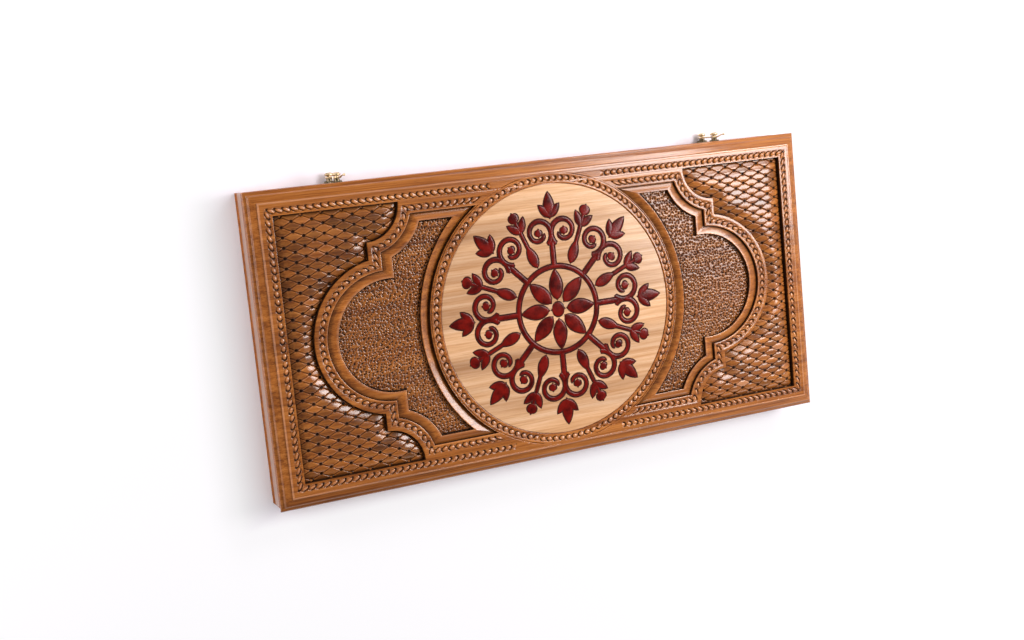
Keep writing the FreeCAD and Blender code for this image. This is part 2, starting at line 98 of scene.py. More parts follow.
# %% Sizes of the lid
lid_low, lid_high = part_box("lid_board")
disc_low, disc_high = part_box("medallion_disc")
HALF_X, HALF_Y = lid_high.x, lid_high.y
UNDER, TOP = lid_low.z, lid_high.z
FLAT = TOP - 0.12 * mm
SUNK = TOP - 5.5 * mm
MOULDING = 10.0 * mm
RECESS_X = HALF_X - MOULDING - 10.0 * mm
RECESS_Y = HALF_Y - MOULDING - 9.7 * mm
LOBE_X, LOBE_R = 147.4 * mm, 62.0 * mm
STEP_X, SHOULDER_R = 158.7 * mm, 28.8 * mm
STRAP = 10.2 * mm
BEVEL, BEVEL_STRETCH = 6.0 * mm, 2.3 * mm
RIDGE = STRAP + BEVEL
GROOVE_Z, RIDGE_Z, GROUND_Z = TOP - 2.8 * mm, TOP - 0.4 * mm, TOP - 3.3 * mm
RING_IN, RING_OUT, RING_BEVEL = disc_high.x + 0.35 * mm, 113.6 * mm, 7.4 * mm
LIP = 0.7 * mm
BEAD_HALF, BEAD_PITCH = 2.5 * mm, 6.0 * mm
SLOT = 1.25 * mm
EDGE = 0.35 * mm
# Depth below the flat where stain and painted shade start down a wall.
STAIN_AND_SHADE_DEPTH = 1.2 * mm
print("lid", round(2 * HALF_X, 4), round(2 * HALF_Y, 4), "recess", round(RECESS_X, 4), round(RECESS_Y, 4))

# %% [markdown]
# A moulding is cut with one tool, so it is one outline carried along a path. Sanding softens its
# corners, so each sharp corner of the outline is first replaced by a small arc. Then every point of
# the outline becomes a line of points along the path, and the lines together are a grid.

# %% Mouldings
def rounded(outline, radius, sharpest=math.radians(30)):
    """A closed outline whose sharp corners are replaced by three points of a small arc."""
    outline = np.array(outline, float)
    made = []
    for before, corner, after in zip(np.roll(outline, 1, 0), outline, np.roll(outline, -1, 0)):
        back, ahead = before - corner, after - corner
        back_length = np.linalg.norm(back[:2])
        ahead_length = np.linalg.norm(ahead[:2])
        cosine = np.dot(back[:2], ahead[:2]) / (back_length * ahead_length)
        turn = math.pi - math.acos(max(-1.0, min(1.0, cosine)))
        if turn < sharpest:
            made.append(corner)
            continue
        reach = min(radius, 0.4 * back_length, 0.4 * ahead_length)
        start = corner + back / back_length * reach
        end = corner + ahead / ahead_length * reach
        made += [start, (start + end) * 0.25 + corner * 0.5, end]
    return np.array(made)


def straight(a, b, count):
    """Points from a to just before b."""
    share = (np.arange(count) / count)[:, None]
    return np.array(a) + (np.array(b) - np.array(a)) * share


def carried(name, lines, heights, stain_and_shade, tone, sign=1, close_rows=False, flip=False):
    """A moulding: one line of points for each corner of its section, mirrored if sign is -1."""
    points = np.zeros((len(lines[0]), len(lines), 3))
    points[..., :2] = np.stack(lines, axis=1)
    points[..., 2] = heights
    points[..., 0] *= sign
    stain_and_shade, tone = (np.broadcast_to(values, points.shape[:2]) for values in (stain_and_shade, tone))
    faces = grid_faces(*points.shape[:2], close_rows=close_rows, close_columns=True, flip=flip)
    return make_piece(name, points, faces, stain_and_shade, tone=tone)


# %% [markdown]
# The chain of beads is cut into the flat bands with two tools: a hollow one that rounds a pearl,
# and a crescent gouge that bites a nick behind it, darkened with stain and painted shade, while the
# pearl is painted paler as a highlight. The tops stay level with the wood. It could be hundreds of
# small beads, but one strip of fine grid with a height formula is lighter, follows curves and mitres
# by itself, and keeps the cut look.

# %% Bead chain
BEAD_STEP, BEAD_MIDDLE, CHAIN_FADE = 0.375 * mm, 3.4 * mm, 0.6 * mm
PEARL_LONG, PEARL_NARROW, PEARL_HIGHLIGHT = 1.22, 1.14, 2.1
PEARL_R, RIM_R, NICK_R = 1.8, 2.05, 2.3
PEARL_DROP, RIM_DEEP, NICK_DEEP = 0.52, 0.6, 1.1
BEAD_COLUMNS = np.array([-2.5, -2.15, -1.8, -1.5, -1.2, -0.8, -0.4, 0, 0.4, 0.8, 1.2, 1.5, 1.8, 2.15, 2.5]) * mm


def bead_relief(along, across, pitch, shown):
    """Depth below the flat, hollow value and pearl share, for distances along and across the chain."""
    past = (np.mod(along, pitch) - BEAD_MIDDLE) / mm
    across = across / mm
    reach = np.hypot(past / PEARL_LONG, across * PEARL_NARROW)
    behind = np.clip((0.1 - past / np.maximum(reach, 0.1)) / 0.6, 0, 1)
    nick = np.clip(1.3 - np.abs(reach - NICK_R) / 0.6, 0, 1) * behind
    rim = np.clip(1 - np.abs(reach - RIM_R) / 0.45, 0, 1) * RIM_DEEP
    pearl = PEARL_DROP * np.clip(reach / PEARL_R, 0, 1) ** 2 * (reach < 1.85)
    depth = np.maximum(np.maximum(pearl, rim), NICK_DEEP * nick) * shown
    # The nick and the rim round each pearl are darkened with stain and painted shade.
    hollow = np.clip(np.maximum(1.3 * nick, rim), 0, 1)
    return depth * mm, hollow * shown, np.clip(1.7 - reach, 0, 1) * shown


def bead_strip(name, lines, pitch, shown, closed, top, tone=0.0):
    """A slab along parallel lines, one per bead column, with the chain sunk in its top."""
    middle = lines[len(lines) // 2]
    steps = np.linalg.norm(np.diff(middle, axis=0), axis=1)
    along = np.concatenate([[0], np.cumsum(steps)])
    depth, hollow, pearl = bead_relief(along[:, None], BEAD_COLUMNS[None, :], pitch, shown[:, None])
    surface = np.zeros(depth.shape + (3,))
    surface[..., :2] = np.stack(lines, axis=1)
    surface[..., 2] = top - depth
    floor = surface[:, [-1, 0]].copy()
    floor[..., 2] = top - SLOT
    points = np.concatenate([surface, floor], axis=1)
    hollow, pearl = (np.pad(values, ((0, 0), (0, 2))) for values in (hollow, pearl))
    faces = grid_faces(*points.shape[:2], close_rows=closed, close_columns=True)
    # The pearls are painted paler as a highlight.
    return make_piece(name, points, faces, hollow, math.radians(60), tone + PEARL_HIGHLIGHT * pearl)


# %% [markdown]
# The lid's edge is a picture-frame moulding: from the flat band a small step, a wide slope, a
# steep round and a lip. The outline is drawn once as inset and height, softened at its
# corners as sanding does, and carried round four mitred corners.

# %% Frame of the lid
FRAME_BEADS_AT, FRAME_CHAIN_FROM = 16.0 * mm, 50 * mm
STEP_AT = 9.0 * mm
FALL = [(0, 6.1), (0.3, 5.55), (1.2, 5.1), (2.4, 4.7), (2.85, 4.35), (3.2, 3.75), (3.55, 3.15), (4.0, 2.8), (4.8, 2.5),
        (6.2, 1.98), (7.6, 1.48), (9.0, 1.0)]


def slot_section(bead_at, top):
    """The slot in a flat band that the chain of beads lies in."""
    return [(bead_at - BEAD_HALF, top), (bead_at - BEAD_HALF, top - SLOT), (bead_at + BEAD_HALF, top - SLOT),
            (bead_at + BEAD_HALF, top)]


def frame_outline():
    inner = HALF_X - RECESS_X
    slope = [(inset * mm, TOP - drop * mm) for inset, drop in FALL]
    score = [(9.2 * mm, FLAT), (10.3 * mm, FLAT), (10.5 * mm, FLAT - 0.2 * mm), (10.75 * mm, FLAT)]
    points = [(inner, UNDER), (0, UNDER), *slope, *score, *slot_section(FRAME_BEADS_AT, FLAT), (inner, FLAT),
              (inner, FLAT - STAIN_AND_SHADE_DEPTH)]
    return rounded(points, EDGE)


def frame_stain(inset, z):
    """Stain and painted shade on the wall inside and at the foot of the step; a paler tone as painted highlight on the
    step's edge.
    """
    wall = (inset > HALF_X - RECESS_X - 0.1 * mm) & (z < FLAT - 0.9 * STAIN_AND_SHADE_DEPTH)
    foot = (np.abs(inset - STEP_AT) < 0.3 * mm) & (z < TOP - 0.9 * mm) & (z > UNDER + mm)
    edge_highlight = (inset > STEP_AT + 0.1 * mm) & (inset < STEP_AT + 1.4 * mm) & ~foot
    return np.maximum(wall * 1.0, foot * 0.5), edge_highlight * 2.2


def rectangle(inset):
    x = HALF_X - inset
    y = HALF_Y - min(inset, HALF_Y - RECESS_Y)
    return [(-x, y), (x, y), (x, -y), (-x, -y)]


def make_lid_frame():
    outline = frame_outline()
    lines = [rectangle(inset) for inset, z in outline]
    moulded = carried("lid_frame", lines, outline[:, 1], *frame_stain(*outline.T), close_rows=True, flip=True)
    corners = [np.array(rectangle(FRAME_BEADS_AT + t)) for t in BEAD_COLUMNS]
    middle = corners[len(corners) // 2]
    lengths = np.linalg.norm(np.roll(middle, -1, 0) - middle, axis=1)
    counts = np.round(lengths / BEAD_STEP).astype(int)
    lines = [np.concatenate([straight(line[i], line[(i + 1) % 4], counts[i]) for i in range(4)]) for line in corners]
    pitch = lengths.sum() / round(lengths.sum() / BEAD_PITCH)
    from_middle = np.abs(lines[len(lines) // 2][:, 0])
    shown = np.clip((from_middle - FRAME_CHAIN_FROM) / CHAIN_FADE, 0, 1)
    shown = np.where(from_middle > middle[1][0] - 1 * mm, 1, shown)
    beads = bead_strip("frame_beads", lines, pitch, shown, True, FLAT)
    for vertex in beads.data.vertices:
        if vertex.co.xy.length < RING_OUT - 0.4 * mm:
            vertex.co.z = min(vertex.co.z, FLAT - SLOT + 0.05 * mm)
    print("frame chain", int(round(lengths.sum() / pitch)), "beads of", round(pitch / mm, 2), "mm")
    return moulded, beads


frame_pieces = make_lid_frame()

# %% [markdown]
# The cartouche is one closed figure with a lobe at each end, drawn by arcs: a hollow shoulder, a
# square step and a round lobe. Every line of the strap is the same figure set in a little further,
# so a function gives the figure for any inset, always with the same number of points, and the
# strap's profile is carried along by asking for it at each point of the profile.

# %% Outline of the cartouche
ARM_LENGTHS = (70 * mm, 46 * mm, 14 * mm, 195 * mm)


def cartouche_line(inset, shift, start_x, spacing):
    """Right half of the outline, from the upper straight to the lower one."""
    radius, hollow = LOBE_R - inset, SHOULDER_R + inset
    centre_x, neck_x, hollow_x = LOBE_X - shift, STEP_X - inset - shift, STEP_X - shift
    reach = math.sqrt(hollow ** 2 - inset ** 2)
    lobe_y = math.sqrt(radius ** 2 - (neck_x - centre_x) ** 2)
    shoulder_y, top_y, top_x = RECESS_Y - reach, RECESS_Y - inset, hollow_x - reach
    counts = [max(1, round(length / spacing)) for length in ARM_LENGTHS]

    def arc(centre, r, first, last, count):
        angle = first + (last - first) * np.arange(count) / count
        return np.stack([centre[0] + r * np.cos(angle), centre[1] + r * np.sin(angle)], axis=1)

    first = math.atan2(inset, reach) - math.pi
    last = -math.pi / 2 - math.atan2(inset, reach)
    lobe = math.atan2(lobe_y, neck_x - centre_x)
    upper = np.concatenate([straight((start_x, top_y), (top_x, top_y), counts[0]),
                            arc((hollow_x, RECESS_Y), hollow, first, last, counts[1]),
                            straight((neck_x, shoulder_y), (neck_x, lobe_y), counts[2])])
    middle = arc((centre_x, 0), radius, lobe, -lobe, counts[3])
    return np.concatenate([upper, middle, [[neck_x, -lobe_y]], upper[::-1] * (1, -1)])


def inside_cartouche(x, y, inset):
    x, y = np.abs(x), np.abs(y)
    lobe = np.hypot(x - LOBE_X, y) < LOBE_R - inset
    shoulder = np.hypot(x - STEP_X, y - RECESS_Y) > SHOULDER_R + inset
    return lobe | (shoulder & (x < STEP_X - inset) & (y < RECESS_Y - inset))


# %% [markdown]
# The strap carries its own chain of beads, drops a straight wall into a groove, and climbs a wide
# bevel to a thin ridge over the stippled ground. Near the medallion the bevel meets the bevel of
# the ring in a mitre, so each line of the profile starts where the two slopes cross.

# %% Strap of the cartouche
STRAP_BEADS_AT, STRAP_CHAIN_FROM = 5.9 * mm, 62 * mm


def strap_start(inset):
    """Where a line of the strap begins: under the ring, or on the mitre with the ring's bevel."""
    y = RECESS_Y - inset
    share = min(1, max(0, (inset - STRAP) / BEVEL))
    radius = RING_OUT + RING_BEVEL * share if inset > STRAP - 0.1 * mm else RING_OUT - 1.0 * mm
    return math.sqrt(radius ** 2 - y ** 2)


def strap_outline():
    """Inset, height and shift towards the middle, round the strap's section."""
    climb = (RIDGE_Z - GROOVE_Z) / BEVEL
    foot = 1.5 * mm
    band = [(0, SUNK), (0, FLAT - STAIN_AND_SHADE_DEPTH), (0, FLAT), *slot_section(STRAP_BEADS_AT, FLAT), (STRAP, FLAT),
            (STRAP, FLAT - STAIN_AND_SHADE_DEPTH), (STRAP, GROOVE_Z)]
    ridge = [(RIDGE, RIDGE_Z), (RIDGE + LIP, RIDGE_Z), (RIDGE + LIP, RIDGE_Z - LIP), (RIDGE + LIP, SUNK)]
    outline = [(inset, z, 0) for inset, z in band]
    outline.append((STRAP + foot, GROOVE_Z + foot * climb, foot * BEVEL_STRETCH / BEVEL))
    return rounded(outline + [(inset, z, BEVEL_STRETCH) for inset, z in ridge], EDGE)


def strap_stain(inset, z):
    """Stain and painted shade on the outer wall, in the groove and below the ridge; a paler tone as painted highlight,
    partly wear, on the edges, and painted shade at the foot of the bevel.
    """
    outer = (inset < 0.1 * mm) & (z < FLAT - 0.9 * STAIN_AND_SHADE_DEPTH)
    groove = (np.abs(inset - STRAP) < 0.9 * mm) & (z < FLAT - 0.9 * STAIN_AND_SHADE_DEPTH)
    below = (inset > RIDGE) & (z < RIDGE_Z - 0.6 * mm)
    worn_and_lit = (inset > RIDGE - 0.4 * mm) & ~below | (np.abs(inset - STRAP) < 0.4 * mm) & ~groove
    foot = (inset > STRAP + 1.0 * mm) & (inset < STRAP + 2.0 * mm)
    return (outer | groove | below) * 1.0, worn_and_lit * 1.8 - foot * 1.6


def make_strap(sign):
    outline = strap_outline()
    lines = [cartouche_line(inset, shift, strap_start(inset), 2.0 * mm) for inset, z, shift in outline]
    strap = carried("strap_" + SIDES[sign], lines, outline[:, 1], *strap_stain(*outline.T[:2]), sign, flip=sign < 0)
    lines = [cartouche_line(inset, 0, strap_start(inset), BEAD_STEP) for inset in STRAP_BEADS_AT + BEAD_COLUMNS]
    middle = lines[len(lines) // 2]
    shown = np.clip((middle[:, 0] - STRAP_CHAIN_FROM) / CHAIN_FADE, 0, 1)
    length = np.linalg.norm(np.diff(middle, axis=0), axis=1).sum()
    pitch = length / round(length / BEAD_PITCH)
    lines = [line * (sign, 1) for line in lines]
    beads = bead_strip("strap_beads_" + SIDES[sign], lines, pitch, shown, False, FLAT)
    if sign > 0:
        beads.data.flip_normals()
    print(SIDES[sign], "strap chain", round(length / mm, 1), "mm long")
    return strap, beads


strap_pieces = [piece for sign in (-1, 1) for piece in make_strap(sign)]

# %% [markdown]
# The ring round the medallion is turned: a flat with its own chain, a fine scored line near its
# rim, a wall into the groove and then the same bevel as the strap's, which shows only inside the
# cartouche. Turned work is an outline swept about the centre, the bevel as two arcs that stop at
# the mitres.

# %% Ring of the medallion
RING_TONE = 0.7
RING_BEADS_AT, RING_STEPS, STEPS_A_BEAD, BEVEL_STEPS = 108.5 * mm, 240, 16, 97


def full_turn(steps):
    return np.linspace(0, 2 * math.pi, steps, endpoint=False)


def around(radius, angles):
    return np.stack([radius * np.cos(angles), radius * np.sin(angles)], axis=1)


def make_ring():
    score = RING_OUT - 1.3 * mm
    outline = [(RING_IN, SUNK), (RING_IN, TOP), *slot_section(RING_BEADS_AT, TOP), (score, TOP),
               (score + 0.35 * mm, TOP - 0.7 * mm), (score + 0.7 * mm, TOP), (RING_OUT, TOP),
               (RING_OUT, TOP - STAIN_AND_SHADE_DEPTH), (RING_OUT, SUNK)]
    outline = rounded(outline, 0.2 * mm)
    lines = [around(radius, full_turn(RING_STEPS)) for radius, z in outline]
    # Stain and painted shade in the scored line and down the outer wall.
    stain_and_shade = (outline[:, 1] < TOP - 0.3 * mm) & (outline[:, 0] > score - 0.1 * mm)
    flat = carried("ring_flat", lines, outline[:, 1], stain_and_shade, RING_TONE, close_rows=True, flip=True)
    count = round(2 * math.pi * RING_BEADS_AT / BEAD_PITCH)
    steps = count * STEPS_A_BEAD
    lines = [around(radius, full_turn(steps)) for radius in RING_BEADS_AT + BEAD_COLUMNS]
    chord = np.linalg.norm(lines[6][1] - lines[6][0])
    beads = bead_strip("ring_beads", lines, chord * STEPS_A_BEAD, np.ones(steps), True, TOP, RING_TONE)
    beads.data.flip_normals()
    print("ring chain", count, "beads")
    return flat, beads


def make_ring_bevel(sign):
    ridge = RING_OUT + RING_BEVEL
    foot = 0.8 * mm
    low = GROOVE_Z - 0.9 * mm
    outline = [(RING_OUT - 0.4 * mm, SUNK), (RING_OUT - 0.4 * mm, low), (RING_OUT, low),
               (RING_OUT + foot, low + foot * (RIDGE_Z - low) / RING_BEVEL), (ridge, RIDGE_Z),
               (ridge + LIP, RIDGE_Z), (ridge + LIP, RIDGE_Z - LIP), (ridge + LIP, SUNK)]
    outline = rounded(outline, EDGE)
    lines = []
    for radius in outline[:, 0]:
        share = min(1, max(0, (radius - RING_OUT) / RING_BEVEL))
        end = math.asin((RECESS_Y - STRAP - BEVEL * share) / radius)
        lines.append(around(radius, np.linspace(-end, end, BEVEL_STEPS)))
    # Stain and painted shade in the groove and below the ridge. The bevel is darkened as painted shade, more on the
    # right, which faces away from the lamp, than on the left; its ridge is painted paler as a highlight, partly wear,
    # and the rest of it a little darker as painted shade.
    groove = outline[:, 0] < RING_OUT + 0.3 * mm
    below = (outline[:, 0] > ridge) & (outline[:, 1] < RIDGE_Z - 0.6 * mm)
    slope = (outline[:, 0] < ridge - 0.5 * mm) * (0.55 if sign > 0 else 0.25)
    worn_and_lit = (outline[:, 0] > ridge - 0.4 * mm) & ~below
    stain_and_shade = np.maximum((groove | below) * 1.0, slope)
    return carried("ring_bevel_" + SIDES[sign], lines, outline[:, 1], stain_and_shade, worn_and_lit * 1.4 - 0.2, sign, flip=sign > 0)


ring_pieces = list(make_ring()) + [make_ring_bevel(sign) for sign in (-1, 1)]

# %% [markdown]
# The lattice fields are softly crowned, so they roll down to the walls round them. The crown depends
# on how far a point is from the nearest wall. That distance is slow to find, so it is measured on a
# loose sheet of points, smoothed, and read between them.

# %% Crown of the fields
CROWN = 12.5 * mm
BORDER_Z, FIELD_RISE = TOP - 4.3 * mm, 3.7 * mm
SHEET_X, SHEET_Y, SHEET_STEP = (40, 246), (-116, 118), 2


def smooth_sheet(values, passes):
    """The same sheet of values, each averaged with its neighbours a few times."""
    for _ in range(passes):
        wide = np.pad(values, 1, mode="edge")
        rows = (wide[:-2] + 2 * wide[1:-1] + wide[2:]) / 4
        values = (rows[:, :-2] + 2 * rows[:, 1:-1] + rows[:, 2:]) / 4
    return values


def wall_distance():
    """Distance to the nearest wall of the right field, on a loose sheet of points."""
    line = cartouche_line(0, 0, 45 * mm, 0.5 * mm)
    tree = KDTree(len(line))
    for number, (x, y) in enumerate(line):
        tree.insert((x, y, 0), number)
    tree.balance()
    x, y = np.meshgrid(*(np.arange(*span, SHEET_STEP) * mm for span in (SHEET_X, SHEET_Y)), indexing="ij")
    strap = np.array([tree.find((a, b, 0))[2] for a, b in zip(x.ravel(), y.ravel())]).reshape(x.shape)
    strap = np.where(inside_cartouche(x, y, 0), -strap, strap)
    return np.minimum(np.minimum(RECESS_X - x, RECESS_Y - np.abs(y)), strap)


def sample_sheet(sheet, x, y):
    """Values of the sheet between its points."""
    i = (np.abs(x) / mm - SHEET_X[0]) / SHEET_STEP
    j = (y / mm - SHEET_Y[0]) / SHEET_STEP
    i, j = np.clip(i, 0, sheet.shape[0] - 1.001), np.clip(j, 0, sheet.shape[1] - 1.001)
    i0, j0 = i.astype(int), j.astype(int)
    u, v = i - i0, j - j0
    near = sheet[i0, j0] * (1 - v) + sheet[i0, j0 + 1] * v
    far = sheet[i0 + 1, j0] * (1 - v) + sheet[i0 + 1, j0 + 1] * v
    return near * (1 - u) + far * u


wall_sheet = wall_distance()
rise = 1 - (1 - np.clip(wall_sheet / CROWN, 0, 1)) ** 1.4
crown_sheet = BORDER_Z + FIELD_RISE * smooth_sheet(rise, 2)
print("sheet of", wall_sheet.size, "points")

# %% [markdown]
# Grooves cross the fields at a flat angle and leave lozenges with slightly domed faces, and a
# punched dot marks each crossing. A square grid would saw these slanted grooves into steps. A grid
# that leans with the grooves has an edge along each of them, so few faces give a crisp cut.

# %% Lattice fields
LOZENGE_X, LOZENGE_Y = 16.2 * mm, 7.87 * mm
FINE = np.array([0, 0.035, 0.07, 0.105, 0.14, 0.2, 0.35, 0.5, 0.65, 0.8, 0.86, 0.895, 0.93, 0.965])
CELLS_A, CELLS_B = (-36, 15), (-10, 38)
GROOVE_HALF, GROOVE_DEEP = 0.62 * mm, 0.7 * mm
DOT_R, DOT_SLOPE, DOT_DEEP = 1.55 * mm, 0.55 * mm, 1.2 * mm
DOME, LEAN = 0.14 * mm, 0.22


def cut_out(name, points, field, hollow, tone, crease, flip):
    """The part of a carved sheet where field is true."""
    faces = grid_faces(*field.shape, flip=flip)
    faces = faces[field.ravel()[faces].all(axis=1)]
    used = np.unique(faces)
    renumber = np.zeros(field.size, int)
    renumber[used] = np.arange(len(used))
    points = np.stack(points, axis=-1).reshape(-1, 3)[used]
    hollow, tone = (np.broadcast_to(values, field.shape).ravel()[used] for values in (hollow, tone))
    print(name, len(faces), "faces")
    return make_piece(name, points, renumber[faces], hollow, crease, tone)


def make_lattice(sign, anchor, distance, crown):
    a, b = np.meshgrid(*((np.arange(*span)[:, None] + FINE).ravel() for span in (CELLS_A, CELLS_B)), indexing="ij")
    x = anchor[0] + (a + b) * LOZENGE_X / 2
    y = anchor[1] + (a - b) * LOZENGE_Y / 2
    spacing = LOZENGE_X * LOZENGE_Y / 2 / math.hypot(LOZENGE_X / 2, LOZENGE_Y / 2)
    part_a, part_b = a - np.floor(a), b - np.floor(b)
    from_line = np.minimum(np.minimum(part_a, 1 - part_a), np.minimum(part_b, 1 - part_b)) * spacing
    groove = np.clip(1 - from_line / GROOVE_HALF, 0, 1)
    offset_a, offset_b = a - np.round(a), b - np.round(b)
    dot = np.hypot((offset_a + offset_b) * LOZENGE_X / 2, (offset_a - offset_b) * LOZENGE_Y / 2)
    dot = np.clip((DOT_R - dot) / DOT_SLOPE, 0, 1)
    dome = (1 - (2 * part_a - 1) ** 2) * (1 - (2 * part_b - 1) ** 2)
    depth = np.maximum(groove * GROOVE_DEEP, dot * DOT_DEEP)
    chance = np.random.default_rng(5 if sign > 0 else 6)
    cells = (CELLS_A[1] - CELLS_A[0], CELLS_B[1] - CELLS_B[0])
    tilt = chance.uniform(-LEAN, LEAN, (*cells, 2)) * mm
    # Each lozenge gets its own random tone, and the field on the left is painted darker as painted shade.
    tone = chance.normal(-0.8 if sign > 0 else -1.8, 0.9, cells)
    cell = (np.floor(a).astype(int) - CELLS_A[0], np.floor(b).astype(int) - CELLS_B[0])
    lean = tilt[cell][..., 0] * (part_a - 0.5) + tilt[cell][..., 1] * (part_b - 0.5)
    field = (np.abs(x) < RECESS_X + 4 * mm) & (np.abs(y) < RECESS_Y + 3 * mm) & (np.sign(x) == sign)
    field &= ~inside_cartouche(x, y, 4 * mm)
    z = np.maximum(sample_sheet(crown, x, y) - depth + DOME * np.sqrt(dome) + lean, SUNK)
    # Stain and painted shade darken the grooves, the dots and a strip along the walls; the flanks of the grooves are
    # painted paler as a highlight, more on the left.
    corner = np.clip(1.5 - sample_sheet(distance, x, y) / (1.4 * mm), 0, 1)
    line = np.clip(1 - from_line / (0.4 * mm), 0, 1)
    hollow = np.clip(np.maximum(np.maximum(0.85 * line, 1.4 * dot), corner), 0, 1)
    edge_highlight = (0.8 if sign > 0 else 2.2) * np.clip(1 - np.abs(from_line - 0.85 * mm) / (0.4 * mm), 0, 1)
    return cut_out("lattice_" + SIDES[sign], (x, y, z), field, hollow, tone[cell] + edge_highlight, math.radians(50), True)


lattice_pieces = [make_lattice(1, (151.0 * mm, 88.6 * mm), wall_sheet, crown_sheet),
                  make_lattice(-1, (-207.6 * mm, 86.4 * mm), wall_sheet, crown_sheet)]


# %% [markdown]
# The ground inside the cartouche is stippled: hundreds of blows of a blunt punch, placed by eye.
# The places are a loose grid whose points are shaken by a seeded generator, so the field is
# random yet the same each run. Each blow is a small bowl with a raised lip.

# %% Stippled grounds
GROUND_X, GROUND_Y, GROUND_STEP = (88 * mm, 198 * mm), (-92 * mm, 92 * mm), 0.45 * mm
PUNCH_GAP, PUNCH_DEEP, PUNCH_SIZES, SHAKE = 2.25 * mm, 0.9 * mm, (0.75, 1.2), 0.42


def punched(x, y, seed):
    """Depth and hollow of the punch marks at each point."""
    chance = np.random.default_rng(seed)
    columns = int(np.ptp(x) / PUNCH_GAP) + 4
    rows = int(np.ptp(y) / PUNCH_GAP) + 4
    shake = chance.uniform(-SHAKE, SHAKE, (columns, rows, 2))
    size = chance.uniform(*PUNCH_SIZES, (columns, rows)) * mm
    strength = chance.uniform(0.6, 1.0, (columns, rows))
    cell_x = (x - x.min()) / PUNCH_GAP + 1
    cell_y = (y - y.min()) / PUNCH_GAP + 1
    base_x, base_y = np.floor(cell_x).astype(int), np.floor(cell_y).astype(int)
    depth, hollow = np.zeros(x.shape), np.zeros(x.shape)
    for step_x in (-1, 0, 1):
        for step_y in (-1, 0, 1):
            i, j = base_x + step_x, base_y + step_y
            off_x = (cell_x - i - 0.5 - shake[i, j, 0] + 0.25 * (j % 2)) * PUNCH_GAP
            off_y = (cell_y - j - 0.5 - shake[i, j, 1]) * PUNCH_GAP
            reach = np.hypot(off_x, off_y) / size[i, j]
            bowl = np.clip(1 - reach ** 2, 0, 1) * strength[i, j]
            lip = np.exp(-((reach - 1.25) / 0.3) ** 2) * 0.2
            depth = np.maximum(depth, bowl) - lip * (bowl == 0) * 0.5
            hollow = np.maximum(hollow, bowl)
    # The bowls are darkened with stain and painted shade.
    return depth * PUNCH_DEEP, np.clip(1.8 * hollow - 0.3, 0, 1)


def make_ground(sign):
    x, y = np.meshgrid(*(np.arange(*span, GROUND_STEP) for span in (GROUND_X, GROUND_Y)), indexing="ij")
    from_ring = np.hypot(x, y) - RING_OUT - RING_BEVEL
    field = inside_cartouche(x + BEVEL_STRETCH, y, RIDGE - 2 * mm) & (from_ring > -3 * mm)
    # A margin along the ridge of the strap and along the ring's ridge is fully darkened as painted shade below their
    # walls, wider by the ring on the right and by the strap on the left.
    strap_gap, ring_gap = (1.0 * mm, 3.2 * mm) if sign > 0 else (1.9 * mm, 0.6 * mm)
    open_part = inside_cartouche(x + BEVEL_STRETCH, y, RIDGE + strap_gap) & (from_ring > ring_gap)
    depth, hollow = punched(x, y, 11 if sign > 0 else 12)
    hollow = np.where(open_part, hollow, 1.0)
    points = (x * sign, y, GROUND_Z - depth)
    # The ground is a darker tone, and the one on the right is painted darker still as painted shade.
    tone = -1.5 if sign > 0 else -1.0
    return cut_out("ground_" + SIDES[sign], points, field, hollow, tone, math.radians(70), sign < 0)


ground_pieces = [make_ground(sign) for sign in (-1, 1)]

# %% [markdown]
# Under the carving lies the rest of the board. A plain slab closes the lid from below, so the
# inside is whole when the box stands open.

# %% Back of the lid board
def block(name, low, high):
    corners = [(x, y, z) for z in (low[2], high[2]) for x, y in
               ((low[0], low[1]), (high[0], low[1]), (high[0], high[1]), (low[0], high[1]))]
    faces = np.array([(3, 2, 1, 0), (4, 5, 6, 7), (0, 1, 5, 4), (1, 2, 6, 5), (2, 3, 7, 6), (3, 0, 4, 7)])
    return make_piece(name, corners, faces, np.zeros(8))


panel = block("lid_panel", (-RECESS_X, -RECESS_Y, UNDER), (RECESS_X, RECESS_Y, SUNK + 0.8 * mm))
carved = [*frame_pieces, *strap_pieces, *ring_pieces, *lattice_pieces, *ground_pieces, panel]
for piece in carved:
    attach(piece, "lid")
    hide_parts("lid_board")
print("carved pieces", len(carved))

# %% [markdown]
# The medallion is a disc of pale wood let into the ring, and the dark red design is let into the
# disc in turn. Each motif is one stroke of a brush: a line with a width that swells and tapers. A
# stroke helper makes the red filling with a softly domed top, and a wider, flatter stroke of the
# same line is the burnt brown cut round it.

# %% Strokes
DISC_TOP = disc_high.z
DISC_R = disc_high.x
CUT = 1.25 * mm
VOLUTE_X, VOLUTE_Y = 64.5 * mm, 11.6 * mm


def heading(line, closed=False):
    """Unit vectors along a line of points."""
    ahead = np.roll(line, -1, 0) - np.roll(line, 1, 0) if closed else np.gradient(line, axis=0)
    return ahead / np.linalg.norm(ahead, axis=1)[:, None]


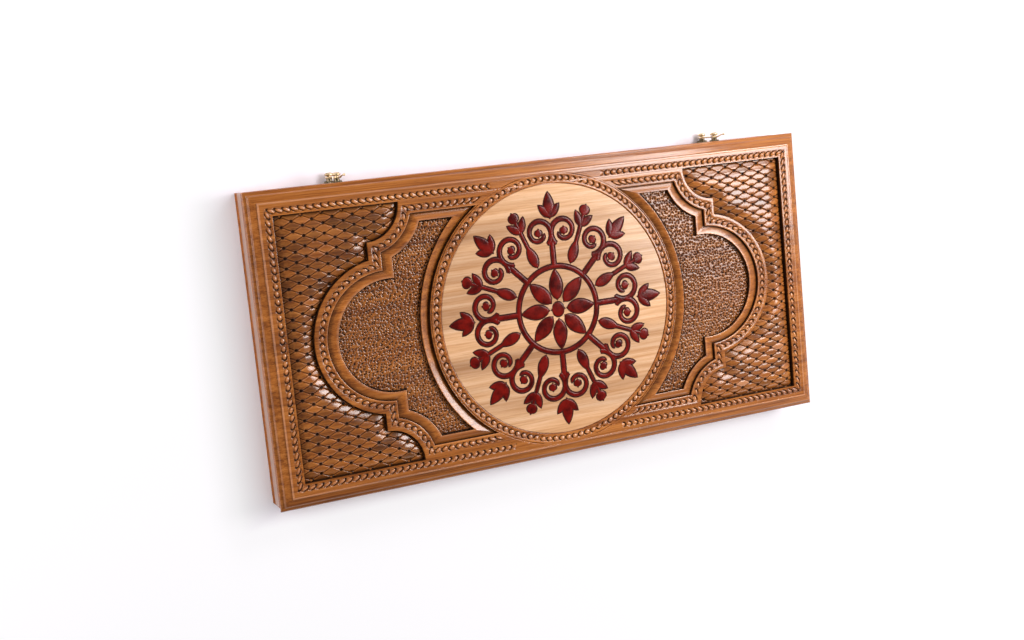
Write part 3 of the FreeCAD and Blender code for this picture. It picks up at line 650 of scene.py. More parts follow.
def stroke(name, line, width, top, dome, columns=9):
    """A solid stroke along a line of points, with a width at each and a domed top."""
    ahead = heading(line)
    beside = np.stack([-ahead[:, 1], ahead[:, 0]], axis=1)
    across = np.sin(np.linspace(-math.pi / 2, math.pi / 2, columns))
    points = np.zeros((len(line), columns + 2, 3))
    points[:, :columns, :2] = line[:, None] + beside[:, None] * (width[:, None, None] / 2 * across[:, None])
    rise = dome * np.sqrt(np.clip(1 - across ** 2, 0, 1))
    points[:, :columns, 2] = top + rise * np.clip(width / (2.4 * mm), 0, 1)[:, None]
    points[:, columns, :2] = points[:, columns - 1, :2]
    points[:, columns + 1, :2] = points[:, 0, :2]
    points[:, columns:, 2] = DISC_TOP - 0.4 * mm
    faces = grid_faces(len(line), columns + 2, close_columns=True, flip=True)
    return make_piece(name, points, faces, crease=math.radians(50))


def leaf(start, length, widest, count=25):
    """Line and width of a pointed leaf that starts on the X axis."""
    share = np.linspace(0, 1, count)
    line = np.stack([start + length * share, np.zeros(count)], axis=1)
    return line, widest * np.sin(math.pi * share ** 0.85) ** 0.8 + 0.02 * mm


def berry(centre_x, centre_y, radius, count=17):
    """Line and width of a round berry."""
    share = -np.cos(np.linspace(0, math.pi, count))
    line = np.stack([centre_x + radius * share, np.full(count, centre_y)], axis=1)
    return line, 2 * radius * np.sqrt(np.clip(1 - share ** 2, 0.0004, 1))


def volute(side, count=73):
    """A tendril that leaves the stem, rolls outwards beside it and closes on itself."""
    share = np.linspace(0, 1, count)
    angle = side * np.radians(-140 + 395 * share)
    radius = (13.0 - 7.6 * share ** 0.8) * mm
    line = np.stack([VOLUTE_X + radius * np.cos(angle), side * VOLUTE_Y + radius * np.sin(angle)], axis=1)
    return line, (3.0 - 1.1 * share) * mm * np.clip(14 * (1.01 - share), 0, 1)


def moved(stroke_lines, angle=0.0, pivot=0.0):
    """A stroke turned about the point at distance pivot along the X axis."""
    line, width = stroke_lines
    c, s = math.cos(angle), math.sin(angle)
    return (line - (pivot, 0)) @ np.array([[c, s], [-s, c]]) + (pivot, 0), width


def widened(line, width):
    """The same stroke, wider all round by the cut's own width."""
    ahead = heading(line)
    ends = np.array([0.3 * CUT])
    line = np.concatenate([line[:1] - ahead[:1] * CUT, line, line[-1:] + ahead[-1:] * CUT])
    return line, np.concatenate([ends, width + 2 * CUT, ends])


# %% [markdown]
# Turned work is an outline swept about an axis. The disc, the posts and the ball on the hook are
# made so, and the two open ends are closed by a polygon each.

# %% Turned and joined pieces
def capped_faces(rows, columns, flip=False):
    """Faces of a round grid whose two open ends are closed by a polygon each."""
    index = np.arange(rows * columns).reshape(rows, columns)
    ends = (index[:, 0], index[::-1, -1]) if flip else (index[::-1, 0], index[:, -1])
    return grid_faces(rows, columns, close_rows=True, flip=flip).tolist() + [end.tolist() for end in ends]


def turned(name, outline, place=(0, 0, 0), axis="Z", steps=32):
    """A lathe piece: the outline's radius and height are swept about an axis through place."""
    angles = full_turn(steps)
    outline = np.array(outline, float)
    a, b = (outline[None, :, 0] * wave(angles)[:, None] for wave in (np.cos, np.sin))
    height = np.broadcast_to(outline[:, 1], a.shape)
    order = {"Y": (b, height, a), "Z": (a, b, height)}[axis]
    return make_piece(name, np.stack(order, axis=-1) + np.array(place), capped_faces(*a.shape))


def join_pieces(name, pieces):
    """One object out of several, with one copy of each material."""
    for piece in bpy.context.selected_objects:
        piece.select_set(False)
    for piece in pieces:
        piece.select_set(True)
    bpy.context.view_layer.objects.active = pieces[0]
    bpy.ops.object.join()
    joined = bpy.context.view_layer.objects.active
    joined.name = name
    joined.data.name = name
    return joined


# %% [markdown]
# One sector of the design holds a petal, a stem that opens into two volutes with a berry in each, and
# a spear of three leaves. Between the sectors a berry stands over two small leaves. The sector is
# drawn once along the X axis and turned eight times.

# %% Medallion
SECTORS, BAND_R, BAND_WIDTH = 8, 36 * mm, 2.8 * mm


def stem(start, end, width, count=9):
    return np.stack([np.linspace(start, end, count) * mm, np.zeros(count)], axis=1), np.full(count, width)


def sector_strokes():
    strokes = [leaf(8.5 * mm, 24.5 * mm, 11 * mm), stem(36.5, 56, 3.2 * mm), leaf(76 * mm, 21 * mm, 8.6 * mm)]
    for side in (-1, 1):
        strokes.append(volute(side))
        strokes.append(berry(VOLUTE_X, side * VOLUTE_Y, 2.9 * mm))
        strokes.append(moved(leaf(77 * mm, 13.5 * mm, 5.4 * mm), side * math.radians(43), 77 * mm))
    between = [leaf(40 * mm, 19 * mm, 7.6 * mm), berry(85.5 * mm, 0, 4.1 * mm), stem(58, 83, 1.9 * mm)]
    between += [moved(leaf(72 * mm, 13 * mm, 5.2 * mm), side * math.radians(37), 72 * mm) for side in (-1, 1)]
    return strokes + [moved(one, math.pi / SECTORS) for one in between]


def make_inlay():
    strokes = [moved(one, 2 * math.pi * turn / SECTORS) for turn in range(SECTORS) for one in sector_strokes()]
    strokes.append(berry(0, 0, 5.6 * mm, 25))
    full = np.linspace(0, 2 * math.pi, 121)
    strokes.append((around(BAND_R, full), np.full(len(full), BAND_WIDTH)))
    red = [stroke("red", line, width, DISC_TOP + 0.12 * mm, 0.16 * mm) for line, width in strokes]
    brown = [stroke("brown", *widened(line, width), DISC_TOP + 0.02 * mm, 0.12 * mm, 7) for line, width in strokes]
    return join_pieces("inlay_red", red), join_pieces("inlay_cut", brown)


def make_disc():
    edge = 0.3 * mm
    outline = [(0.01 * mm, disc_low.z), (DISC_R, disc_low.z), (DISC_R, DISC_TOP - edge), (DISC_R - edge, DISC_TOP),
               (0.01 * mm, DISC_TOP)]
    return turned("medallion", outline, steps=192)


inlay_red, inlay_cut = make_inlay()
medallion = make_disc()
for piece, slot, node in ((inlay_red, "red_lacquer", "medallion_inlay"), (inlay_cut, "red_lacquer", "medallion_inlay"),
                          (medallion, "pale_maple", "medallion_disc")):
    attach(piece, "lid")
    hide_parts(node)
print("inlay faces", len(inlay_red.data.polygons))

# %% [markdown]
# Each latch has a petalled rosette and a mushroom-headed post on either half of the box, and a cast
# hook that turns on the lower post. The rosette is a polar grid whose height is waved by the petals.
# The post is turned on a lathe. The hook is swept: an oval section follows an eye, an arm, an open
# claw and a bent tail.

# %% Latches
CASE_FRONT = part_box("base_rail_front")[1].y
pivot_low, pivot_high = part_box("pivot_posts")
catch_low, catch_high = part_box("catch_posts")
PIVOT_Z, CATCH_Z = (pivot_low.z + pivot_high.z) / 2, (catch_low.z + catch_high.z) / 2
LATCH_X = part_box("rosettes_base")[1].x - 4.25 * mm
PETALS, STEPS_A_PETAL = 10, 8
ROSETTE_RINGS = [(0.0, 4.6), (0.55, 4.6), (1.0, 4.3), (1.55, 3.9), (1.75, 3.4), (1.4, 3.05), (1.2, 2.8), (1.8, 2.62),
                 (2.2, 2.5), (3.2, 2.4), (3.4, 2.2), (3.4, 1.75)]


def make_rosette(name, x, z):
    height, radius = np.array(ROSETTE_RINGS).T
    angles = full_turn(PETALS * STEPS_A_PETAL)[:, None]
    petal = np.abs(np.cos(angles * PETALS / 2))
    reach = radius * (1 - 0.11 * (1 - petal) * (radius > 3.2))
    rise = height * np.where((radius > 3.2) & (radius < 4.5), 0.55 + 0.45 * petal, 1)
    points = (x + reach * np.cos(angles) * mm, CASE_FRONT + rise * mm, z + reach * np.sin(angles) * mm)
    points = np.stack(points, axis=-1)
    return make_piece(name, points, capped_faces(*points.shape[:2], flip=True), crease=math.radians(45))


def make_post(name, x, z):
    outline = [(0.01, -6.8), (1.5, -6.8), (1.5, 5.3), (2.6, 5.5), (3.2, 5.85), (3.42, 6.4), (3.3, 7.0), (2.8, 7.6),
               (2.0, 8.0), (1.0, 8.2), (0.01, 8.25)]
    return turned(name, [(r * mm, y * mm) for r, y in outline], (x, CASE_FRONT, z), "Y", 32)


def swept(name, path, half_width, half_depth, sides=14, closed=False):
    """An oval section along a path that lies mostly in the XZ plane; the depth is along Y."""
    path = np.array(path, float)
    half_width = np.broadcast_to(half_width, len(path))
    ahead = heading(path, closed)
    beside = np.cross(ahead, (0, 1, 0))
    beside /= np.linalg.norm(beside, axis=1)[:, None]
    out = np.cross(beside, ahead)
    turn = full_turn(sides)
    c, s = (np.sign(v) * np.abs(v) ** 0.75 for v in (np.cos(turn), np.sin(turn)))
    points = path[:, None] + beside[:, None] * (half_width[:, None] * c)[..., None]
    points = points + out[:, None] * (half_depth * s)[None, :, None]
    faces = grid_faces(len(path), sides, close_rows=closed, close_columns=True).tolist()
    if not closed:
        index = np.arange(len(path) * sides).reshape(-1, sides)
        faces += [index[0, ::-1].tolist(), index[-1].tolist()]
    return make_piece(name, points, faces, crease=math.radians(50))


def make_hook(side, x):
    reach = (CATCH_Z - PIVOT_Z) / mm
    level = CASE_FRONT / mm + 4.2

    def at(points):
        return [((x / mm + px) * mm, (level + py) * mm, (PIVOT_Z / mm + pz) * mm) for px, py, pz in points]

    def circle(radius, first, last, count, middle=0.0):
        turns = np.radians(np.linspace(first, last, count))
        return [(radius * math.cos(t), 0, middle + radius * math.sin(t)) for t in turns]

    eye = circle(2.45, 0, 345, 24)
    arm = [(0, 0, z) for z in np.linspace(2.2, reach - 2.6, 9)]
    claw = circle(2.9, -148, 148, 27, reach)
    claw_width = np.interp(np.linspace(0, 1, 27), [0, 0.12, 0.5, 0.88, 1], [0.35, 0.85, 1.15, 0.85, 0.35])
    tail = [(0.75, 0, reach + 2.9), (1.2, 0.1, reach + 4.2), (1.75, 0.7, reach + 5.8), (2.3, 1.3, reach + 7.4),
            (2.75, 1.6, reach + 8.8), (3.1, 1.75, reach + 9.9)]
    pieces = [swept("eye", at(eye), 0.8 * mm, 0.65 * mm, closed=True),
              swept("arm", at(arm), np.array([1.5, 1.45, 1.3, 1.15, 1.1, 1.15, 1.25, 1.4, 1.5]) * mm, 0.65 * mm),
              swept("claw", at(claw), claw_width * mm, 0.65 * mm),
              swept("tail", at(tail), np.array([1.1, 0.9, 0.75, 0.65, 0.6, 0.55]) * mm, 0.5 * mm)]
    ball = [(1.05 * math.sin(t), -1.05 * math.cos(t)) for t in np.linspace(0.02, math.pi - 0.02, 12)]
    place = at([(3.3, 1.75, reach + 10.2)])[0]
    pieces.append(turned("ball", [(r * mm, h * mm) for r, h in ball], place, "Y", 20))
    return join_pieces("latch_hook_" + side, pieces)


brass_pieces = []
for side, x in (("left", -LATCH_X), ("right", LATCH_X)):
    for half, z, post in (("base", PIVOT_Z, "pivot_posts"), ("lid", CATCH_Z, "catch_posts")):
        rosette = make_rosette("rosette_" + half + "_" + side, x, z)
        head = make_post("post_" + half + "_" + side, x, z)
        for piece, node in ((rosette, "rosettes_" + half), (head, post)):
            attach(piece, half)
            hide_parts(node)
            brass_pieces.append(piece)
    hook = make_hook(side, x)
    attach(hook, "hook_" + side)
    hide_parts("hook_" + side)
    brass_pieces.append(hook)
print("latch pieces", len(brass_pieces))

# %% [markdown]
# The kegs and cards inside carry numbers. The digits are Blender's own text shapes, read once and
# copied as mesh, because ninety text objects would be slow.

# %% Number shapes
def digit_shapes():
    """Points and faces of each digit, one unit high, as thin solids."""
    shapes = {}
    for digit in "0123456789":
        curve = bpy.data.curves.new("digit", "FONT")
        curve.body = digit
        curve.extrude = 0.02
        text = bpy.data.objects.new("digit", curve)
        mesh = bpy.data.meshes.new_from_object(text)
        points = np.zeros(len(mesh.vertices) * 3)
        mesh.vertices.foreach_get("co", points)
        points = points.reshape(-1, 3)
        low, high = points.min(0), points.max(0)
        points[:, :2] = (points[:, :2] - low[:2]) / (high[1] - low[1])
        points[:, 2] = (points[:, 2] > 0) * 1.0
        shapes[digit] = points, [list(face.vertices) for face in mesh.polygons], points[:, 0].max()
        bpy.data.objects.remove(text)
        bpy.data.curves.remove(curve)
        bpy.data.meshes.remove(mesh)
    return shapes


DIGITS = digit_shapes()


def make_numbers(name, entries, thickness):
    """Numbers as one piece; an entry is the text, its middle, its height and its turn."""
    all_points, all_faces, used = [], [], 0
    for text, middle, height, turn in entries:
        advance = 0.14 * (len(text) - 1) + sum(DIGITS[digit][2] for digit in text)
        start = -advance / 2
        c, s = math.cos(turn), math.sin(turn)
        for digit in text:
            points, faces, width = DIGITS[digit]
            x, y = (points[:, 0] + start) * height, (points[:, 1] - 0.5) * height
            z = middle[2] + points[:, 2] * thickness
            all_points.append(np.stack([middle[0] + x * c - y * s, middle[1] + x * s + y * c, z], axis=1))
            all_faces += [[corner + used for corner in face] for face in faces]
            used += len(points)
            start += width + 0.14
    return make_piece(name, np.concatenate(all_points), all_faces)


# %% [markdown]
# The kegs are small turned barrels with two burnt lines and a number on top. Each one is dropped in
# as it comes, so its number is turned by a seeded random angle.

# %% Kegs
kegs_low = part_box("number_kegs")[0]
inner_x, inner_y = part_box("base_rail_right")[0].x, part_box("base_rail_front")[0].y
tray_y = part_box("tray_divider_right")[1].y
KEG_ROWS, KEG_COLUMNS, KEG_SIDES = 9, 5, 28
KEGS = 2 * KEG_ROWS * KEG_COLUMNS
keg_pitch = (inner_y - tray_y - 0.5 * mm) / KEG_ROWS


def make_kegs():
    profile = [(0.01, 0), (8.2, 0), (8.8, 0.4), (9.25, 3.2), (9.0, 3.5), (9.35, 3.8), (9.8, 8), (9.9, 10), (9.8, 12),
               (9.35, 16.2), (9.0, 16.5), (9.25, 16.8), (8.8, 19.4), (8.2, 19.8), (0.01, 19.8)]
    burnt = np.array([0, 0, 0, 0, 1, 0, 0, 0, 0, 0, 1, 0, 0, 0, 0])
    angles = full_turn(KEG_SIDES)
    radius, height = np.array(profile).T * mm
    barrel = np.stack([radius * np.cos(angles)[:, None], radius * np.sin(angles)[:, None],
                       np.broadcast_to(height, (KEG_SIDES, len(profile)))], axis=-1).reshape(-1, 3)
    keg_faces = capped_faces(KEG_SIDES, len(profile))
    chance = np.random.default_rng(90)
    order = chance.permutation(KEGS) + 1
    points, faces, entries = [], [], []
    for place in range(KEGS):
        half, column, row = place * 2 // KEGS, place // KEG_ROWS % KEG_COLUMNS, place % KEG_ROWS
        x = (1 if half else -1) * (inner_x - (column + 0.5) * keg_pitch - 0.25 * mm)
        y = inner_y - (row + 0.5) * keg_pitch - 0.25 * mm
        points.append(barrel + (x, y, kegs_low.z))
        faces += [[corner + place * len(barrel) for corner in face] for face in keg_faces]
        turn = math.pi + chance.normal(0, 0.5)
        entries.append((str(order[place]), (x, y, kegs_low.z + 19.75 * mm), 8.4 * mm, turn))
    kegs = make_piece("kegs", points, faces, np.tile(burnt, KEG_SIDES * KEGS))
    return kegs, make_numbers("keg_numbers", entries, 0.2 * mm)


kegs, keg_numbers = make_kegs()
print("kegs", len(kegs.data.polygons), "faces, numbers", len(keg_numbers.data.polygons))

# %% [markdown]
# The cards lie in three stacks, slipped a little as hands leave them. A card is a slab with round
# corners. The top one of each stack shows its print: three rows of nine places, five numbers in each
# row, and a tint in the places that stay empty.

# %% Cards
cards_low, cards_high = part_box("game_cards")
LANES, LAYERS = 3, 8
CARD_ROWS, CARD_COLUMNS, CHOSEN = 3, 9, 5
RULE, RULE_THICK, TINT_THICK = 0.6 * mm, 0.035 * mm, 0.03 * mm
CARD_LENGTH = cards_high.x - cards_low.x
lane = 2 * inner_y / LANES
CARD_WIDTH = lane - 3.3 * mm
CARD_THICK = (cards_high.z - cards_low.z) / LAYERS


def slab(name, x, y, low, high, length, width, radius, axis="Z"):
    """A flat board with round corners, standing on edge if its axis is X."""
    corners = []
    for quarter, (sx, sy) in enumerate(((1, 1), (-1, 1), (-1, -1), (1, -1))):
        for t in np.radians(np.arange(0, 91, 22.5)) + quarter * math.pi / 2:
            corners.append((sx * (length / 2 - radius) + radius * math.cos(t),
                            sy * (width / 2 - radius) + radius * math.sin(t)))
    soft = 0.12 * mm
    rings = [(low, 1 - 2 * soft / width), (low + soft, 1), (high - soft, 1), (high, 1 - 2 * soft / width)]
    points = np.array([[(x + cx * k, y + cy * k, z) for z, k in rings] for cx, cy in corners])
    if axis == "X":
        points = points[..., [2, 0, 1]]
    return make_piece(name, points, capped_faces(*points.shape[:2]))


def make_cards():
    chance = np.random.default_rng(3)
    boards, tints, lines, entries = [], [], [], []
    for stack in range(LANES):
        y0 = -inner_y + (stack + 0.5) * lane
        for layer in range(LAYERS):
            x = (cards_low.x + cards_high.x) / 2 + (chance.uniform(0, 2.5) if layer else 0) * mm
            y = y0 + chance.uniform(-0.8, 0.8) * mm
            low = cards_low.z + layer * CARD_THICK
            boards.append(slab("card", x, y, low, low + CARD_THICK - 0.04 * mm, CARD_LENGTH, CARD_WIDTH, 3 * mm))
        cell_x, cell_y = (CARD_LENGTH - 12 * mm) / CARD_COLUMNS, (CARD_WIDTH - 9 * mm) / CARD_ROWS
        top = cards_high.z - 0.05 * mm
        for row in range(CARD_ROWS):
            chosen = set(chance.permutation(CARD_COLUMNS)[:CHOSEN])
            for column in range(CARD_COLUMNS):
                cx, cy = x + (column - 4) * cell_x, y + (row - 1) * cell_y
                if column in chosen:
                    tens = 10 * (CARD_COLUMNS - 1 - column)
                    value = chance.integers(max(1, tens), tens + 10)
                    entries.append((str(value), (cx, cy, top), 11 * mm, math.pi))
                else:
                    sizes = (cell_x - 2 * mm, cell_y - 2 * mm, 1.5 * mm)
                    tints.append(slab("tint", cx, cy, top, top + TINT_THICK, *sizes))
        places = [(x + (i - CARD_COLUMNS / 2) * cell_x, y, RULE, CARD_ROWS * cell_y) for i in range(CARD_COLUMNS + 1)]
        places += [(x, y + (i - CARD_ROWS / 2) * cell_y, CARD_COLUMNS * cell_x, RULE) for i in range(CARD_ROWS + 1)]
        for cx, cy, length, width in places:
            lines.append(slab("line", cx, cy, top, top + RULE_THICK, length, width, 0.2 * mm))
    return (join_pieces("cards", boards), join_pieces("card_tints", tints), join_pieces("card_lines", lines),
            make_numbers("card_numbers", entries, 0.05 * mm))


cards, card_tints, card_lines, card_numbers = make_cards()

# %% [markdown]
# The markers that cover the numbers stand in a row on their edges in the two small trays. They are
# tokens with round corners, and each stands a hair apart from the next.

# %% Counters
counters_low, counters_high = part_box("counters")
MARKERS, MARKER_PITCH = 15, 3.2 * mm


def make_markers():
    made = []
    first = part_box("cross_divider_right")[1].x + 0.5 * mm
    middle_y = (counters_low.y + counters_high.y) / 2
    middle_z = (counters_low.z + counters_high.z) / 2
    height, width = counters_high.z - counters_low.z, counters_high.y - counters_low.y
    for sign in (-1, 1):
        for place in range(MARKERS):
            near = first + place * MARKER_PITCH + 0.1 * mm
            low, high = sorted((sign * near, sign * (near + MARKER_PITCH - 0.3 * mm)))
            made.append(slab("marker", middle_y, middle_z, low, high, width, height, 3.5 * mm, "X"))
    return join_pieces("markers", made)


markers = make_markers()
inside = [(piece, "keg_wood", "number_kegs") for piece in (kegs, keg_numbers)]
inside += [(piece, "card_stock", "game_cards") for piece in (cards, card_tints, card_lines, card_numbers)]
inside += [(markers, "counter_wood", "counters")]
for piece, slot, node in inside:
    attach(piece, "base")
    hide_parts(node)
print("inside pieces", len(inside))

# %% [markdown]
# A satin finish on wood is made of layers: a wide drift of colour from board to board, long
# streaks of grain, short dark pores, and a clear coat. The grain runs along one axis, so the noise
# is squeezed hard across it. A few short helpers add and join the nodes.

# %% Material helpers
def new_material(name):
    material = bpy.data.materials.new(name)
    material.use_nodes = True
    return material, material.node_tree.nodes["Principled BSDF"]


def feed(material, node, inputs):
    """Set inputs of a node, each to a value or to another node's socket."""
    for key, value in inputs.items():
        if isinstance(value, bpy.types.NodeSocket):
            material.node_tree.links.new(value, node.inputs[key])
        else:
            node.inputs[key].default_value = value


def add(material, kind, inputs=None, **settings):
    """A new node with its settings and inputs."""
    node = material.node_tree.nodes.new(kind)
    for key, value in settings.items():
        setattr(node, key, value)
    feed(material, node, inputs or {})
    return node


def stretched_noise(material, lengths, detail=4.0, offset=(0.0, 0.0, 0.0), roughness=0.55):
    """Noise whose blobs have the given lengths in metres along X, Y and Z."""
    place = add(material, "ShaderNodeTexCoord").outputs["Object"]
    scale = tuple(1 / length for length in lengths)
    mapped = add(material, "ShaderNodeMapping", {"Vector": place, "Scale": scale, "Location": offset})
    noise = add(material, "ShaderNodeTexNoise", {"Vector": mapped.outputs[0], "Scale": 1.0, "Detail": detail,
                                                 "Roughness": roughness})
    return noise.outputs["Fac"]


def ramp(material, fac, stops):
    node = add(material, "ShaderNodeValToRGB", {"Fac": fac})
    elements = node.color_ramp.elements
    while len(elements) < len(stops):
        elements.new(0.5)
    for element, (place, colour) in zip(elements, stops):
        element.position = place
        element.color = (*colour, 1)
    return node.outputs["Color"]


def mix(material, fac, a, b, blend="MIX"):
    node = add(material, "ShaderNodeMix", data_type="RGBA", blend_type=blend)
    for key, value in (("Factor", fac), ("A", a), ("B", b)):
        socket = [s for s in node.inputs if s.name == key and s.enabled][0]
        if isinstance(value, bpy.types.NodeSocket):
            material.node_tree.links.new(value, socket)
        elif key == "Factor":
            socket.default_value = value
        else:
            socket.default_value = (*value, 1)
    return [s for s in node.outputs if s.enabled][0]


def fine_bump(material, height):
    return add(material, "ShaderNodeBump", {"Height": height, "Strength": 0.2, "Distance": 0.0002}).outputs[0]


def math_node(material, operation, a, b=0.5, c=0.5, clamp=False):
    node = add(material, "ShaderNodeMath", {0: a, 1: b, 2: c}, operation=operation, use_clamp=clamp)
    return node.outputs[0]


# %% [markdown]
# The woods share one recipe. Stain and painted shade in cuts come from the hollow value, the tone
# value lightens or darkens a place, partly at random and partly as painted highlight and shade, and
# where it is high the colour turns to a pale painted highlight, partly wear.

# %% Wood recipe
STREAK, FIBRE, PORE = (0.18, 0.0042), (0.03, 0.0009), (0.006, 0.00035)
# Colours of stain and painted shade in cuts, and of wear and painted highlights on edges.
STAIN_AND_SHADE, WEAR_AND_HIGHLIGHT = (0.012, 0.005, 0.003), (0.56, 0.38, 0.28)


def wood(name, dark, middle, light, along=0, stain_and_shade=None, roughness=0.5, coat=0.95, boards=0.3, pore=0.35,
         polish=0.08):
    """Satin wood with its grain along one axis, dark stain and painted shade in cuts if a colour for them is given."""
    material, shader = new_material(name)
    feed(material, shader, {"Coat Weight": coat})

    def lengths(size):
        return tuple(size[0] if axis == along else size[1] for axis in range(3))

    board_size = (0.9, 0.034, 0.4) if along == 0 else (0.034, 0.9, 0.4)
    drift = stretched_noise(material, board_size, 2.0, (3.1, 0.4, 1.7))
    streak = stretched_noise(material, lengths(STREAK), 6.0, (0.3, 1.9, 0.2), 0.62)
    fibre = stretched_noise(material, lengths(FIBRE), 3.0)
    grain = math_node(material, "MULTIPLY_ADD", streak, 0.62, math_node(material, "MULTIPLY", fibre, 0.38))
    colour = ramp(material, grain, [(0.38, dark), (0.5, middle), (0.62, light)])
    tone = ramp(material, drift, [(0.35, (0.62, 0.55, 0.5)), (0.5, (1, 1, 1)), (0.66, (1.16, 1.14, 1.1))])
    colour = mix(material, boards, colour, mix(material, 1.0, colour, tone, "MULTIPLY"))
    pores = ramp(material, stretched_noise(material, lengths(PORE), 2.0, (5, 2, 1)),
                 [(0.30, (1, 1, 1)), (0.40, (0, 0, 0))])
    colour = mix(material, math_node(material, "MULTIPLY", pores, pore), colour, tuple(0.45 * c for c in dark))
    if stain_and_shade is not None:
        # Tone lightens or darkens the wood, partly at random and partly as painted highlight and shade.
        tone = add(material, "ShaderNodeAttribute", attribute_name="tone").outputs["Fac"]
        level = math_node(material, "MULTIPLY_ADD", tone, 0.16, 1.0)
        colour = mix(material, 1.0, colour, level, "MULTIPLY")
        # Above a tone of 1 the colour turns towards a pale painted highlight, partly wear.
        worn_and_lit = math_node(material, "MULTIPLY_ADD", tone, 0.2, -0.2, clamp=True)
        colour = mix(material, worn_and_lit, colour, WEAR_AND_HIGHLIGHT)
        # Hollow darkens cuts with stain and painted shade.
        hollow = add(material, "ShaderNodeAttribute", attribute_name="hollow").outputs["Fac"]
        colour = mix(material, math_node(material, "MULTIPLY", hollow, 0.95, clamp=True), colour, stain_and_shade)
        bare = math_node(material, "MULTIPLY_ADD", hollow, -coat, coat, clamp=True)
        feed(material, shader, {"Coat Weight": bare})
    rough = math_node(material, "MULTIPLY_ADD", fibre, 0.16, roughness - 0.08)
    height = math_node(material, "MULTIPLY_ADD", pores, -0.6, math_node(material, "MULTIPLY", fibre, 0.5))
    feed(material, shader, {"Base Color": colour, "Roughness": rough, "Specular IOR Level": polish,
                            "Coat Roughness": 0.18, "Normal": fine_bump(material, height)})
    return material


# %% [markdown]
# One reddish brown wood makes the whole case. The rails of the lower half are polished, the lid's
# sides and the boards are plainer, and only the carved board takes the dark stain and painted shade.
# The trays, kegs and counters are other woods from the same recipe. Where a part runs along Y, so
# does its grain.

# %% Woods
def wood_pair(name, tones, **finish):
    """The same wood with its grain along X and along Y."""
    return wood(name, *tones, **finish), wood(name + "_end", *tones, along=1, **finish)


walnut = ((0.185, 0.049, 0.008), (0.345, 0.104, 0.016), (0.480, 0.168, 0.034))
inner = ((0.30, 0.16, 0.07), (0.46, 0.27, 0.13), (0.60, 0.39, 0.21))
carved_wood = wood("carved_wood", *walnut, stain_and_shade=STAIN_AND_SHADE, boards=0.6)
case_wood, case_wood_end = wood_pair("case_wood", walnut, coat=0.0, roughness=0.65)
rail_wood, rail_wood_end = wood_pair("rail_wood", walnut, roughness=0.3, coat=1.0, polish=0.8)
tray_wood, tray_wood_end = wood_pair("tray_wood", inner, roughness=0.55, coat=0.1)
maple = wood("pale_maple", (0.55, 0.275, 0.120), (0.67, 0.380, 0.203), (0.76, 0.480, 0.300), coat=0.6, boards=1.0,
             pore=0.22)
keg_wood = wood("keg_wood", (0.52, 0.33, 0.16), (0.66, 0.46, 0.26), (0.76, 0.58, 0.36), along=2,
                stain_and_shade=(0.10, 0.04, 0.015), roughness=0.5, coat=0.2, pore=0.2)
counter_wood = wood("counter_wood", (0.11, 0.035, 0.02), (0.19, 0.06, 0.03), (0.28, 0.10, 0.05), along=1, coat=0.6)
print("materials", len(bpy.data.materials))

# %% [markdown]
# The design is filled with a glossy dark red lacquer that is thinner, and so darker, here and
# there. The cut round it is scorched wood. The fittings are brass that has gone dark in patches, and
# the rosettes take a darker copy of it as painted shade. Card and ink are two near tones in small
# flecks. All of these are clouds of noise through a colour ramp, so one helper starts each of them.

# %% Lacquer, scorched cut, brass and print
def clouded(name, size, stops, detail=4.0, settings=None):
    """A finish in small clouds of near tones; settings are the shader's other inputs."""
    material, shader = new_material(name)
    cloud = stretched_noise(material, (size, size, size), detail)
    feed(material, shader, {"Base Color": ramp(material, cloud, stops), **(settings or {})})
    return material, shader, cloud


def make_lacquer():
    material, shader, cloud = clouded(
        "red_lacquer", 0.008, [(0.32, (0.050, 0.0015, 0.001)), (0.62, (0.185, 0.005, 0.002))],
        settings={"Specular IOR Level": 0.1, "Coat Weight": 0.16, "Coat Roughness": 0.12})
    feed(material, shader, {"Roughness": math_node(material, "MULTIPLY_ADD", cloud, 0.15, 0.16)})
    return material


def make_scorched():
    return clouded("scorched_cut", 0.003, [(0.3, (0.022, 0.004, 0.003)), (0.7, (0.060, 0.010, 0.006))], 3.0,
                   {"Roughness": 0.7, "Specular IOR Level": 0.1})[0]


def make_brass(name="antique_brass", shine=1.0):
    tints = ((0.30, (0.20, 0.12, 0.045)), (0.42, (0.68, 0.50, 0.28)), (0.7, (0.88, 0.72, 0.48)))
    stops = [(place, tuple(shine * c for c in tint)) for place, tint in tints]
    material, shader, cloud = clouded(name, 0.0022, stops, settings={"Metallic": 1.0})
    rough = ramp(material, cloud, [(0.30, (0.55, 0.55, 0.55)), (0.5, (0.28, 0.28, 0.28))])
    feed(material, shader, {"Roughness": rough, "Normal": fine_bump(material, cloud)})
    return material


def make_print(name, low, high, size):
    return clouded(name, size, [(0.35, low), (0.65, high)], settings={"Roughness": 0.6})[0]


lacquer, scorched = make_lacquer(), make_scorched()
# The rosettes get a darker copy of the brass as painted shade.
brass, shaded_brass = make_brass(), make_brass("shaded_brass", 0.22)
card_stock = make_print("card_stock", (0.70, 0.64, 0.50), (0.82, 0.77, 0.64), 0.0012)
card_tint = make_print("card_tint", (0.16, 0.30, 0.20), (0.22, 0.38, 0.26), 0.0009)
ink = make_print("ink", (0.02, 0.015, 0.012), (0.05, 0.035, 0.03), 0.0007)
red_ink = make_print("red_ink", (0.30, 0.02, 0.015), (0.42, 0.04, 0.03), 0.0007)


def paint(piece, material):
    piece.data.materials.clear()
    piece.data.materials.append(material)


